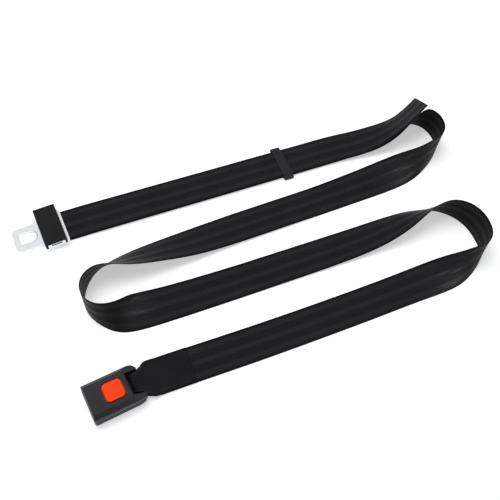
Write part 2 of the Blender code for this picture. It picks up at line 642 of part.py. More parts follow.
def blade_outline():
    """Plan of the tongue plate: wide frame behind, flared blade with a rounded tip in front."""
    tip = -TONGUE_LENGTH
    half = BLADE_WIDTH / 2
    root = BLADE_ROOT_WIDTH / 2
    corner = arc((tip + BLADE_CORNER, half - BLADE_CORNER), BLADE_CORNER, 90, 180, 5)
    side = [(-1.5 * MM, tongue_flange_out - 2.5 * MM), (-4.0 * MM, tongue_flange_out),
            (-FRAME_LENGTH + 1.5 * MM, tongue_flange_out), (-FRAME_LENGTH, tongue_flange_out - 1.5 * MM),
            (-FRAME_LENGTH, root + 1.0 * MM), (-FRAME_LENGTH - 1.0 * MM, root),
            (-FRAME_LENGTH - BLADE_FLARE, half)]
    upper = [(0.0, tongue_flange_out - 4.0 * MM)] + side + corner
    return upper + [(x, -y) for x, y in reversed(upper)]


def build_tongue_plate():
    """Stamped tongue: blade with its D window, webbing slot, and two folded flanges with slots."""
    plate = prism("tongue_plate", blade_outline(), 0.0, PLATE_THICK, BRIGHT_STEEL, tongue_origin)
    bevel(plate, 0.35 * MM, 1)
    window_front = -TONGUE_LENGTH + WINDOW_FRONT_BAR
    half = WINDOW_WIDTH / 2
    nose = window_front + WINDOW_LENGTH - half
    corner = 1.6 * MM
    d_shape = arc((window_front + corner, corner - half), corner, 180, 270, 2)
    d_shape += arc((nose, 0), half, -90, 90, 12)
    d_shape += arc((window_front + corner, half - corner), corner, 90, 180, 2)
    window = prism("d_window", d_shape, -PLATE_THICK, 2 * PLATE_THICK, None, tongue_origin)
    slot = box("webbing_slot", (slot_front, slot_rear), (-web_half_run, web_half_run),
               (-PLATE_THICK, 2 * PLATE_THICK), None, tongue_origin)
    flanges = []
    for side in (-1, 1):
        rise = loop_top
        outline = [(flange_rear, 0.0), (flange_rear, rise - 2 * MM), (flange_rear - 2 * MM, rise),
                   (flange_front + 2 * MM, rise), (flange_front, rise - 2 * MM), (flange_front, 0.0)]
        span = sorted((side * tongue_flange_in, side * tongue_flange_out))
        flanges.append(side_prism("tongue_flange", outline, span[0], span[1], None, tongue_origin))
    fuse(plate, *flanges)
    clear = TANG_LENGTH / 2 + TANG_GAP
    guide = side_prism("bar_guide", [
        (bar_rest_x - clear, LOCK_BAR_HEIGHT - TANG_HEIGHT / 2 - TANG_GAP),
        (bar_rear_x + clear, LOCK_BAR_HEIGHT - TANG_HEIGHT / 2 - TANG_GAP),
        (bar_rear_x + clear, LOCK_BAR_HEIGHT + TANG_HEIGHT / 2 + TANG_GAP),
        (bar_rest_x - clear, LOCK_BAR_HEIGHT + TANG_HEIGHT / 2 + TANG_GAP),
    ], -2 * tongue_flange_out, 2 * tongue_flange_out, None, tongue_origin)
    cut(plate, window, slot, guide)
    shade_round(plate)


def build_lock_bar():
    """Knurled bar across the flanges, with a flat tang at each end."""
    sides = 2 * KNURL_COUNT
    outline = []
    for i in range(sides):
        radius = LOCK_BAR_RADIUS - (i % 2) * KNURL_DEPTH
        angle = 2 * math.pi * i / sides
        outline.append((bar_rest_x + radius * math.cos(angle), LOCK_BAR_HEIGHT + radius * math.sin(angle)))
    reach = tongue_flange_in - RUN_GAP
    bar = side_prism("lock_bar", outline, -reach, reach, BLACK_STEEL, tongue_origin)
    tang_x = (bar_rest_x - TANG_LENGTH / 2, bar_rest_x + TANG_LENGTH / 2)
    tang_z = (LOCK_BAR_HEIGHT - TANG_HEIGHT / 2, LOCK_BAR_HEIGHT + TANG_HEIGHT / 2)
    tangs = [box("bar_tang", tang_x, tuple(sorted((side * (reach - 0.6 * MM), side * tongue_flange_out))),
                 tang_z, None, tongue_origin) for side in (-1, 1)]
    fuse(bar, *tangs)
    put_origin(bar, (bar_rest_x, 0, LOCK_BAR_HEIGHT))
    shade_round(bar, 20)


def build_tongue_cover():
    """Moulded cap over the bar: flat top, front and rear skirts, short ends outside the flanges."""
    front = flange_front - SEAT_GAP - COVER_WALL
    rear = flange_rear + SEAT_GAP + COVER_WALL
    half = tongue_flange_out + SEAT_GAP + COVER_SIDE
    low = cover_high - COVER_SKIRT_DROP
    cap = box("tongue_cover", (front, rear), (-half, half), (low, cover_high), ABS_BLACK, tongue_origin)
    bevel(cap, 0.7 * MM)
    hollow = box("cover_hollow", (front + COVER_WALL, rear - COVER_WALL),
                 (-half + COVER_SIDE, half - COVER_SIDE), (low - COVER_WALL, cover_low), None, tongue_origin)
    ends = [box("cover_end_cut", (front + COVER_WALL, rear - COVER_WALL),
                tuple(sorted((side * (half - 2 * COVER_SIDE), side * (half + COVER_SIDE)))),
                (low - COVER_WALL, cover_high - COVER_END_DROP), None, tongue_origin) for side in (-1, 1)]
    cut(cap, hollow, *ends)
    shade_round(cap)


def build_keeper():
    """Flat moulded loop round both layers of strand 1."""
    inner_half = WEBBING_WIDTH / 2 + KEEPER_SIDE_GAP
    inner_low = KEEPER_WALL
    inner_high = STRAND_LIFT + 2 * WEBBING_THICK + LAYER_GAP + SEAT_GAP
    outer_half = inner_half + KEEPER_END
    high = inner_high + KEEPER_WALL
    corner = 1.6 * MM
    outline = []
    for sy, sz, start in ((1, 1, 0), (-1, 1, 90), (-1, -1, 180), (1, -1, 270)):
        centre = (sy * (outer_half - corner), high - corner if sz > 0 else corner)
        outline += arc(centre, corner, start, start + 90, 3)
    half = KEEPER_LENGTH / 2
    rings = [[(x, y, z) for y, z in outline] for x in (-half, half)]
    loop = loft("keeper", rings, KEEPER_GREY, strap_origin)
    bevel(loop, 0.3 * MM, 1)
    loop.location = (KEEPER_X, KEEPER_Y, 0)
    opening = box("keeper_opening", (-KEEPER_LENGTH, KEEPER_LENGTH), (-inner_half, inner_half),
                  (inner_low, inner_high), None, strap_origin)
    opening.location = loop.location
    cut(loop, opening)
    shade_round(loop)


def natural_spline(knots, at):
    """Natural cubic spline through rows of values, and its slope, by chord length."""
    knots = np.array(knots, dtype=float)
    chord = np.hypot(np.diff(knots[:, 0]), np.diff(knots[:, 1]))
    place = np.concatenate([[0.0], np.cumsum(chord)])
    count = len(knots)
    system = np.zeros((count, count))
    right = np.zeros_like(knots)
    system[0, 0] = system[-1, -1] = 1.0
    for i in range(1, count - 1):
        before, after = chord[i - 1], chord[i]
        system[i, i - 1:i + 2] = before, 2 * (before + after), after
        right[i] = 6 * ((knots[i + 1] - knots[i]) / after - (knots[i] - knots[i - 1]) / before)
    bend = np.linalg.solve(system, right)
    values, slopes = [], []
    for i, share in at(chord):
        width = chord[i]
        a, b = 1 - share, share
        values.append(a * knots[i] + b * knots[i + 1]
                      + ((a ** 3 - a) * bend[i] + (b ** 3 - b) * bend[i + 1]) * width ** 2 / 6)
        slopes.append((knots[i + 1] - knots[i]) / width
                      + ((3 * b ** 2 - 1) * bend[i + 1] - (3 * a ** 2 - 1) * bend[i]) * width / 6)
    return np.array(values), np.array(slopes)


def station_shares(chord):
    """Stations in each span: close together in the bends, wider apart on the straights."""
    shares = []
    for i, width in enumerate(chord):
        steps = int(min(max(math.ceil(width / STATION_STEP), 2), ROLL_MAX_STEPS))
        shares += [(i, k / steps) for k in range(steps)]
    return shares + [(len(chord) - 1, 1.0)]


def smooth_step(value, span):
    """Smooth rise from 0 to 1 across a span."""
    share = min(max((value - span[0]) / (span[1] - span[0]), 0.0), 1.0)
    return share * share * (3 - 2 * share)


def lay(route, base_height):
    """Stations of a strap laid along a route: middle, side direction, width and thickness."""
    knots = [(x * MM, y * MM, math.radians(roll)) for x, y, roll in route]
    values, slopes = natural_spline(knots, station_shares)
    stations = []
    for i, ((x, y, roll), slope) in enumerate(zip(values, slopes)):
        ahead = Vector((slope[0], slope[1], 0)).normalized()
        right = Vector((ahead.y, -ahead.x, 0))
        side = right * math.cos(roll) + Vector((0, 0, math.sin(roll)))
        middle = Vector((x, y, base_height(i, x, y) + abs(side.z) * WEBBING_WIDTH / 2))
        stations.append([middle, side, WEBBING_WIDTH, WEBBING_THICK])
    last = len(stations) - 1
    rises = []
    for i, (middle, side, width, thick) in enumerate(stations):
        ahead = (stations[min(i + 1, last)][0] - stations[max(i - 1, 0)][0]).normalized()
        square = (side - ahead * side.dot(ahead)).normalized()
        flat = math.hypot(square.x, square.y) * thick / 2
        rises.append((abs(square.z) - abs(side.z)) * width / 2 + flat)
    for station, rise in zip(stations, rises):
        station[0].z += rise
    return stations


def strand_lift(x, y):
    """Strand 1 is carried a little above the ground where the keeper can slide."""
    if abs(y - KEEPER_Y) > 6 * MM:
        return 0.0
    return STRAND_LIFT * smooth_step(x, LIFT_FROM) * (1 - smooth_step(x, LIFT_UNTIL))


def tail_stations():
    """The loose tail: it lies on strand 1, then curls up and away at its free end."""
    knots = [(x * MM, y * MM, rise * MM) for (x, y, _), rise in zip(TAIL_ROUTE, TAIL_RISE)]
    rises, _ = natural_spline(knots, station_shares)

    def height(i, x, y):
        above = max(rises[i][2], 0.0)
        share = smooth_step(above, (0.0, 5 * MM))
        return above + WEBBING_THICK + LAYER_GAP + (1 - share) * strand_lift(x, KEEPER_Y)

    return lay(TAIL_ROUTE, height)


def adjuster_stations():
    """From the tail layer under the plate, round the lock bar and back as the load layer."""
    side = (tongue_yaw @ Vector((0, -1, 0))).normalized()
    to_level = tongue_level.inverted() @ tongue_frame
    rear = to_level @ Vector((bar_rear_x, 0, LOCK_BAR_HEIGHT))
    front = to_level @ Vector((bar_rest_x, 0, LOCK_BAR_HEIGHT))
    tail_z = 1.5 * WEBBING_THICK + LAYER_GAP
    load_z = 0.5 * WEBBING_THICK
    high_turn, low_turn = 3.6 * MM, 4.2 * MM
    tilt = math.degrees(tongue_tilt)
    profile = [(1.0 * MM, tail_z)]
    profile += arc((rear.x + loop_offset + high_turn, tail_z + high_turn), high_turn, 270, 184, 4)
    profile += arc((rear.x, rear.z), loop_offset, 4, 90 + tilt, 4)
    profile += arc((front.x, front.z), loop_offset, 90 + tilt, 180, 4)
    profile += arc((front.x - loop_offset + low_turn, load_z + low_turn), low_turn, 184, 270, 4)
    profile += [(1.0 * MM, load_z)]
    return [[tongue_level @ Vector((x, WEBBING_OFFSET, z)), side.copy(), WEBBING_WIDTH, WEBBING_THICK]
            for x, z in profile]


def fold_share(x):
    """0 in the throat, where the webbing's edges are folded in, and 1 where it lies full width."""
    return min(max((x - BUCKLE_LENGTH - WIDEN_FROM) / (WIDEN_OVER - WIDEN_FROM), 0.0), 1.0)


def buckle_stations():
    """Under layer into the throat, round the webbing bar, and the sewn layer back on top."""
    frame = Matrix.Translation((*BUCKLE_AT, 0)) @ buckle_turn
    inside = [frame @ Vector((x, 0, 0)) for x in (webbing_bar_x, BUCKLE_LENGTH + 2 * MM)]
    knots = [(p.x, p.y) for p in inside] + [(x * MM, y * MM) for x, y in SEWN_ROUTE]
    shares = [(i, k / 4) for i in range(4) for k in range(4)] + [(3, 1.0)]
    places, slopes = natural_spline(knots, lambda chord: shares)
    under_rest = WEBBING_THICK / 2
    over_rest = under_rest + WEBBING_THICK + LAYER_GAP
    under, over = [], []
    for (x, y), slope in zip(places, slopes):
        ahead = Vector((slope[0], slope[1], 0)).normalized()
        side = Vector((-ahead.y, ahead.x, 0))
        local = frame.inverted() @ Vector((x, y, 0))
        folded = fold_share(local.x)
        width = fold_width + (WEBBING_WIDTH - fold_width) * folded
        thick = FOLDED_THICK + (WEBBING_THICK - FOLDED_THICK) * folded
        down = smooth_step(x, (inside[0].x, SEWN_FLAT_X))
        under_z = WEBBING_BAR_HEIGHT - BAR_WRAP + (under_rest - WEBBING_BAR_HEIGHT + BAR_WRAP) * down
        over_z = WEBBING_BAR_HEIGHT + BAR_WRAP + (over_rest - WEBBING_BAR_HEIGHT - BAR_WRAP) * down
        under.append([Vector((x, y, under_z)), side, width, thick])
        over.append([Vector((x, y, over_z)), side.copy(), width, thick])
    around = []
    for x, z in arc((webbing_bar_x, WEBBING_BAR_HEIGHT), BAR_WRAP, 258, 102, 8):
        around.append([frame @ Vector((x, 0, z)), under[0][1].copy(), fold_width, FOLDED_THICK])
    return list(reversed(under)) + around + over


def build_webbing():
    """One solid strap: tail, adjuster loop, four strands with three on-edge bends, sewn buckle loop."""
    run = lay(STRAP_ROUTE, lambda i, x, y: strand_lift(x, y))
    stations = list(reversed(tail_stations())) + adjuster_stations() + run + buckle_stations()
    build = bmesh.new()
    rings = []
    last = len(stations) - 1
    for i, (middle, side, width, thick) in enumerate(stations):
        ahead = (stations[min(i + 1, last)][0] - stations[max(i - 1, 0)][0]).normalized()
        side = (side - ahead * side.dot(ahead)).normalized()
        up = ahead.cross(side).normalized()
        across, through = side * width / 2, up * thick / 2
        corners = [middle - across - through, middle + across - through,
                   middle + across + through, middle - across + through]
        sunk = min(0.0, min(corner.z for corner in corners))
        rings.append([build.verts.new(corner - Vector((0, 0, sunk))) for corner in corners])
    for near, far in zip(rings, rings[1:]):
        for k in range(4):
            j = (k + 1) % 4
            build.faces.new((near[k], near[j], far[j], far[k]))
    build.faces.new(rings[0][::-1])
    build.faces.new(rings[-1])
    bmesh.ops.triangulate(build, faces=build.faces[:])
    strap = mesh_object("webbing", build, WEBBING_BLACK, strap_origin)
    shade_round(strap)


def centre_on_origin():
    """Move the whole strap so that its box is centred on the origin."""
    bpy.context.view_layer.update()
    graph = bpy.context.evaluated_depsgraph_get()
    points = []
    for piece in bpy.data.objects:
        if piece.type != "MESH" or piece.hide_render:
            continue
        shape = piece.evaluated_get(graph)
        points += [shape.matrix_world @ vertex.co for vertex in shape.data.vertices]
    low = [min(p[k] for p in points) for k in range(2)]
    high = [max(p[k] for p in points) for k in range(2)]
    strap_origin.location = (-(low[0] + high[0]) / 2, -(low[1] + high[1]) / 2, 0)


build_webbing()
build_keeper()
build_tongue_plate()
build_lock_bar()
build_tongue_cover()
build_lower_housing()
build_upper_housing()
build_frame()
build_latch()
build_rods()
build_screws()
build_ejector()
build_latch_springs()
build_button()
centre_on_origin()
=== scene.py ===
"""Stretcher strap: black webbing laid in flat turns, with a buckle, a tongue and a keeper."""

import math

import bmesh
import bpy
import numpy as np
from mathutils import Matrix, Vector


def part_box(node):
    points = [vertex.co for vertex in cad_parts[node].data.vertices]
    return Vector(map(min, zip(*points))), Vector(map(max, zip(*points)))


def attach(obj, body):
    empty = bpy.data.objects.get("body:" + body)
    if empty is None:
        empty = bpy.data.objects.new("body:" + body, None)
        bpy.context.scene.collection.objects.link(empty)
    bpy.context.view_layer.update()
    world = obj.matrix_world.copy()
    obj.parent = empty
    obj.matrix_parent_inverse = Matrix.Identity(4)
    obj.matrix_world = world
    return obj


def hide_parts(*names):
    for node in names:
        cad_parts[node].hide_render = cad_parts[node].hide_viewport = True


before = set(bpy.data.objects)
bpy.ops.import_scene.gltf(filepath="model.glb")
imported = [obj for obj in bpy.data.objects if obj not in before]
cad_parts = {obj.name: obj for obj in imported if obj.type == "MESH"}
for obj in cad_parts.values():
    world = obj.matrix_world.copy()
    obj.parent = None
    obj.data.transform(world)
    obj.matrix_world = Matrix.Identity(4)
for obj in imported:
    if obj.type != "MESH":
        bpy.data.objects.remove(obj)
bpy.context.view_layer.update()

# Camera. It looks down at the strap from 766 mm above the floor, turned 33 degrees from the
# straight runs and rolled by 12. The keeper's place gives where the strap's own layout in mm
# starts: the keeper sits on strand 1, at KEEPER_X and KEEPER_Y.
MM = 0.001
KEEPER_X, KEEPER_Y = 337.0, 478.5
CAMERA_HEIGHT = 765.75
CAMERA_TURN, CAMERA_DOWN, CAMERA_ROLL = -33.1746, 60.8, 11.87
keeper_low, keeper_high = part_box("keeper")
keeper_middle = (keeper_low + keeper_high) / 2
layout = Vector((keeper_middle.x - KEEPER_X * MM, keeper_middle.y - KEEPER_Y * MM, 0))
camera_data = bpy.data.cameras.new("camera")
camera_data.sensor_width = 36.0
camera_data.lens = 45.04
camera_data.clip_start = 0.01
camera = bpy.data.objects.new("camera", camera_data)
camera.matrix_world = (
    Matrix.Translation(layout + Vector((0, 0, CAMERA_HEIGHT * MM)))
    @ Matrix.Rotation(math.radians(CAMERA_TURN), 4, "Z")
    @ Matrix.Rotation(math.radians(90 - CAMERA_DOWN), 4, "X")
    @ Matrix.Rotation(math.radians(CAMERA_ROLL), 4, "Z")
)
bpy.context.scene.collection.objects.link(camera)
bpy.context.scene.camera = camera
bpy.context.scene.view_settings.view_transform = "Standard"


# World and floor. A studio sweep: plain, pale and matt. The world and the floor's own glow
# are white to the camera, and the floor keeps the strap's soft shadow.
def linear(code):
    """Linear colour with alpha from an sRGB hex code."""
    channels = [int(code[i:i + 2], 16) / 255 for i in (1, 3, 5)]
    colour = [c / 12.92 if c <= 0.04045 else ((c + 0.055) / 1.055) ** 2.4 for c in channels]
    return (*colour, 1.0)


def node(tree, kind, inputs=None, **settings):
    """Shader node with its settings, values and links."""
    made = tree.nodes.new(kind)
    for name, value in settings.items():
        setattr(made, name, value)
    for name, value in (inputs or {}).items():
        if isinstance(value, bpy.types.NodeSocket):
            tree.links.new(value, made.inputs[name])
        else:
            made.inputs[name].default_value = value
    return made


def maths(tree, operation, *values, use_clamp=False):
    """Result of a Math node on some values or sockets."""
    made = node(tree, "ShaderNodeMath", dict(enumerate(values)), operation=operation)
    made.use_clamp = use_clamp
    return made.outputs[0]


def noise(tree, place, scale, detail):
    """Noise between 0 and 1 at a place."""
    made = node(tree, "ShaderNodeTexNoise", {"Vector": place, "Scale": scale, "Detail": detail})
    return made.outputs["Fac"]


def blend(tree, share, dark, light):
    """Colour between two hex codes."""
    inputs = {"Factor": share, 6: linear(dark), 7: linear(light)}
    return node(tree, "ShaderNodeMix", inputs, data_type="RGBA").outputs[2]


def surface(name):
    """New material: its node tree and its Principled shader."""
    made = bpy.data.materials.new(name)
    made.use_nodes = True
    return made, made.node_tree, made.node_tree.nodes["Principled BSDF"]


world = bpy.data.worlds.new("studio")
bpy.context.scene.world = world
world.use_nodes = True
sky = world.node_tree
sky.nodes.clear()
rays = node(sky, "ShaderNodeLightPath").outputs
seen = maths(sky, "MAXIMUM", rays["Is Camera Ray"], rays["Is Glossy Ray"])
seen = maths(sky, "MAXIMUM", seen, rays["Is Transmission Ray"])
room = node(sky, "ShaderNodeBackground", {"Color": linear("#f4f6fa"), "Strength": 0.36})
white = node(sky, "ShaderNodeBackground", {"Color": (1, 1, 1, 1), "Strength": 1.0})
sky_mix = node(sky, "ShaderNodeMixShader", {0: seen, 1: room.outputs[0], 2: white.outputs[0]})
node(sky, "ShaderNodeOutputWorld", {"Surface": sky_mix.outputs[0]})

bpy.ops.object.select_all(action="DESELECT")
bpy.ops.mesh.primitive_plane_add(size=6.0, location=(0, 0, -0.0002))
floor = bpy.context.active_object
floor.name = "floor"
paint, tree, shader = surface("matt_studio_floor")
shader.inputs["Base Color"].default_value = linear("#e6e6e6")
shader.inputs["Roughness"].default_value = 0.9
shader.inputs["Specular IOR Level"].default_value = 0.1
rays = node(tree, "ShaderNodeLightPath").outputs
glow = node(tree, "ShaderNodeEmission", {"Color": (1, 1, 1, 1), "Strength": 0.45})
both = node(tree, "ShaderNodeAddShader", {0: shader.outputs[0], 1: glow.outputs[0]})
seen = maths(tree, "MAXIMUM", rays["Is Camera Ray"], rays["Is Glossy Ray"])
mixed = node(tree, "ShaderNodeMixShader", {0: seen, 1: shader.outputs[0], 2: both.outputs[0]})
tree.links.new(mixed.outputs[0], tree.nodes["Material Output"].inputs["Surface"])
floor.data.materials.append(paint)


# Lights. A large soft box above and behind the strap gives the short soft shadows and no
# shine. A small one at the right puts a satin shine on the bends.
def soft_box(name, place, target, size, power, shines):
    """Rectangular area lamp aimed at a point."""
    data = bpy.data.lights.new(name, "AREA")
    data.shape = "RECTANGLE"
    data.size, data.size_y = size
    data.energy = power
    lamp = bpy.data.objects.new(name, data)
    lamp.location = place
    lamp.rotation_euler = (Vector(target) - Vector(place)).to_track_quat("-Z", "Y").to_euler()
    lamp.visible_glossy = shines
    lamp.visible_diffuse = not shines
    bpy.context.scene.collection.objects.link(lamp)


soft_box("key_light", (-0.35, 0.6, 1.7), (0, 0, 0), (1.2, 1.2), 27, False)
soft_box("shine_light", (0.9, -1.1, 0.9), (0, 0, 0.02), (0.5, 0.3), 40, True)

# Webbing. One length of black polyester restraint webbing, 48 mm wide, woven with a satin
# face in lengthwise panels. It goes round the adjuster's bar, lies in four strands that stand
# on edge at three bends, and is folded round the buckle's bar and sewn to itself.
WEBBING_WIDTH = 48.0
WEBBING_THICK = 1.2
LAYER_GAP = 0.3
STRAND_LIFT = 1.5
STRAND_REACH = 6
LIFT_FROM, LIFT_UNTIL = (12, 44), (440, 490)
TAIL_CLEAR = 5.0
# x and y in mm in the strap's layout, and roll in degrees; a positive roll lifts the right edge
STRAP_ROUTE = [
    (46, 478.5, 0), (230, 478.5, 0), (340, 478.5, 0), (392, 478.5, 0), (430, 478.5, 0.5),
    (462, 477.8, 3), (496, 477, 10), (532, 477, 34), (557, 477.5, 60), (583, 474, 84), (592, 450, 90),
    (583, 427, 88), (564, 415, 78), (533, 405, 62), (502, 403, 39), (460, 403, 17),
    (400, 402, 4), (296, 399, -2), (205, 396, -5), (159, 394, -13), (109, 393, -28),
    (57, 392, -51), (21, 386, -79), (2, 367, -91), (0, 345, -89), (11, 328, -80),
    (31, 319, -60), (58, 318.5, -29.5), (104, 319, -8), (150, 318.6, -3), (252, 318, 1), (350, 317.5, 4),
    (408, 318, 13), (460, 321, 35), (494, 323, 58), (532, 315, 82), (553, 292, 92),
    (557, 264, 94), (547, 238, 85), (523, 228, 67), (498, 225, 47), (470, 226, 23),
    (438, 227.5, 8), (360, 227.5, 1), (293, 227.5, 0), (190, 228.5, 0), (110, 230.5, 0),
]
# the tail also gives how far its low edge is above strand 1
TAIL_ROUTE = [
    (46, 478.5, 0, 0), (230, 478.5, 0, 0), (340, 478.5, 0, 0), (380, 478.5, 0, 0),
    (414, 478.5, 0.2, 0.3), (460, 475.6, 2, 2.8), (500, 474.2, 15, 6), (540, 477.6, 42, 16),
    (573, 486.2, 51, 37.3),
]


def spline(knots, step):
    """Natural cubic spline through rows of values, sampled every step of chord, with slopes."""
    knots = np.array(knots, dtype=float)
    chord = np.hypot(np.diff(knots[:, 0]), np.diff(knots[:, 1]))
    count = len(knots)
    system = np.eye(count)
    right = np.zeros_like(knots)
    for i in range(1, count - 1):
        before, after = chord[i - 1], chord[i]
        system[i, i - 1:i + 2] = before, 2 * (before + after), after
        right[i] = 6 * ((knots[i + 1] - knots[i]) / after - (knots[i] - knots[i - 1]) / before)
    bend = np.linalg.solve(system, right)
    values, slopes = [], []
    for i, width in enumerate(chord):
        pieces = max(2, math.ceil(width / step))
        for k in range(pieces + (i == count - 2)):
            b = k / pieces
            a = 1 - b
            values.append(a * knots[i] + b * knots[i + 1]
                          + ((a ** 3 - a) * bend[i] + (b ** 3 - b) * bend[i + 1]) * width ** 2 / 6)
            slopes.append((knots[i + 1] - knots[i]) / width
                          + ((3 * b ** 2 - 1) * bend[i + 1] - (3 * a ** 2 - 1) * bend[i]) * width / 6)
    return np.array(values), np.array(slopes)


def smooth_step(value, low, high):
    """Smooth rise from 0 to 1 between two values."""
    share = min(max((value - low) / (high - low), 0.0), 1.0)
    return share * share * (3 - 2 * share)


def strand_lift(x, y):
    """Strand 1 is carried a little above the floor where the keeper can slide."""
    if abs(y - KEEPER_Y) > STRAND_REACH:
        return 0.0
    return STRAND_LIFT * smooth_step(x, *LIFT_FROM) * (1 - smooth_step(x, *LIFT_UNTIL))


def lay(route, base_height, step=4.0):
    """Stations of a strap on a route: middle, side, width, thickness and fold, in mm."""
    knots = [(knot[0], knot[1], math.radians(knot[2]), *knot[3:]) for knot in route]
    values, slopes = spline(knots, step)
    stations = []
    for value, slope in zip(values, slopes):
        x, y, roll = value[:3]
        ahead = Vector((slope[0], slope[1], 0)).normalized()
        side = Vector((ahead.y, -ahead.x, 0)) * math.cos(roll) + Vector((0, 0, math.sin(roll)))
        middle = Vector((x, y, base_height(value) + abs(side.z) * WEBBING_WIDTH / 2))
        stations.append([middle, side, WEBBING_WIDTH, WEBBING_THICK, 0.0])
    last = len(stations) - 1
    rises = []
    for i, (middle, side, width, thick, fold) in enumerate(stations):
        ahead = (stations[min(i + 1, last)][0] - stations[max(i - 1, 0)][0]).normalized()
        square = (side - ahead * side.dot(ahead)).normalized()
        rise = (abs(square.z) - abs(side.z)) * width / 2 + math.hypot(square.x, square.y) * thick / 2
        rises.append(rise)
    for station, rise in zip(stations, rises):
        station[0].z += rise
    return stations


def tail_height(value):
    """The tail's low edge: on strand 1 at first, then clear of it."""
    above = max(value[3], 0.0)
    share = smooth_step(above, 0.0, TAIL_CLEAR)
    return above + WEBBING_THICK + LAYER_GAP + (1 - share) * strand_lift(value[0], KEEPER_Y)


def circle_part(centre, radius, start, end, steps):
    """Points of an arc in x and z, angles in degrees."""
    angles = [math.radians(start + (end - start) * i / steps) for i in range(steps + 1)]
    return [(centre[0] + radius * math.cos(a), centre[1] + radius * math.sin(a)) for a in angles]


# the adjuster's own directions: turned by 2.8 degrees, and tilted about a line ahead of the
# plate's rear edge so that the tongue's tip is just above the floor
TONGUE_AT = Vector((6.0, 479.3, 0))
TONGUE_LENGTH = 70.0
TILT_LINE = 9.0
TIP_CLEAR = 0.3
WEBBING_OFFSET = -0.5
strip_low = 2 * WEBBING_THICK + 2 * LAYER_GAP
tongue_yaw = Matrix.Rotation(math.radians(2.8), 4, "Z")
tongue_tilt = math.asin((strip_low - TIP_CLEAR) / (TONGUE_LENGTH - TILT_LINE))
tongue_level = Matrix.Translation(TONGUE_AT) @ tongue_yaw
tongue_lift = Vector((0, 0, strip_low + TILT_LINE * math.sin(tongue_tilt)))
tongue_frame = Matrix.Translation(TONGUE_AT + tongue_lift) @ tongue_yaw
tongue_frame = tongue_frame @ Matrix.Rotation(-tongue_tilt, 4, "Y")
# the lock bar at the ends of its slot, and the webbing's path past it
BAR_REAR_X, BAR_REST_X = -16.0, -19.0
BAR_HEIGHT = 8.3
BAR_LOOP = 3.9
TAIL_TURN, LOAD_TURN = 3.6, 4.2
STRIP_END_X = 1.0


def adjuster_stations():
    """Under the plate's rear strip, up through the slot, round the lock bar and back."""
    side = (tongue_yaw @ Vector((0, -1, 0))).normalized()
    to_level = tongue_level.inverted() @ tongue_frame
    rear = to_level @ Vector((BAR_REAR_X, 0, BAR_HEIGHT))
    front = to_level @ Vector((BAR_REST_X, 0, BAR_HEIGHT))
    tail_z = 1.5 * WEBBING_THICK + LAYER_GAP
    load_z = 0.5 * WEBBING_THICK
    tilt = math.degrees(tongue_tilt)
    profile = [(STRIP_END_X, tail_z)]
    profile += circle_part((rear.x + BAR_LOOP + TAIL_TURN, tail_z + TAIL_TURN), TAIL_TURN, 270, 184, 8)
    profile += circle_part((rear.x, rear.z), BAR_LOOP, 4, 90 + tilt, 8)
    profile += circle_part((front.x, front.z), BAR_LOOP, 90 + tilt, 180, 8)
    profile += circle_part((front.x - BAR_LOOP + LOAD_TURN, load_z + LOAD_TURN), LOAD_TURN, 184, 270, 8)
    profile += [(STRIP_END_X, load_z)]
    middles = [tongue_level @ Vector((x, WEBBING_OFFSET, z)) for x, z in profile]
    return [[middle, side.copy(), WEBBING_WIDTH, WEBBING_THICK, 0.0] for middle in middles]


# the buckle's own directions: its mouth's centre, and a yaw of 5.5 degrees
BUCKLE_AT = Vector((-33.5, 223.5, 0))
buckle_frame = Matrix.Translation(BUCKLE_AT) @ Matrix.Rotation(math.radians(5.5), 4, "Z")
WEBBING_BAR = (60.2, 10.0)
WRAP_RADIUS = 3.05
FOLDED_THICK = 1.5
# distances from the mouth between which the fold opens out, and where the route leaves the
# throat; from the layout's x of FLOOR_FROM_X on, the lower layer lies on the floor
FOLD_OPENS = (66, 84)
THROAT_OUT = 71.0
FLOOR_FROM_X = 62.0
SEWN_STEP = 1.8
SEWN_ROUTE = [(50, 231.2), (74, 231.2), (100, 230.7)]
# how far each folded edge is from the middle, by the distance from the mouth: the near edge
# runs in slantwise to the bar, and the far edge stays wide for longer
NEAR_EDGE = [(56, 10.5), (61, 12), (68, 15.6), (73, 20.5), (78.5, 23.6), (84, 24)]
FAR_EDGE = [(56, 13.2), (64, 14.6), (68, 16.0), (71, 18.3), (78, 22.0), (85, 24)]


def edge_at(knots, place):
    """Distance of a folded edge from the middle, by straight lines between its knots."""
    return float(np.interp(place, [knot[0] for knot in knots], [knot[1] for knot in knots]))


def folded_station(middle, side, place):
    """Station of the folded end: uneven halves, and cloth that is thicker where it is doubled."""
    near, far = edge_at(NEAR_EDGE, place), edge_at(FAR_EDGE, place)
    fold = 1 - smooth_step(place, *FOLD_OPENS)
    thick = WEBBING_THICK + (FOLDED_THICK - WEBBING_THICK) * fold
    centre = middle + side * (far - near) / 2
    return [centre, side.copy(), near + far, thick, fold]


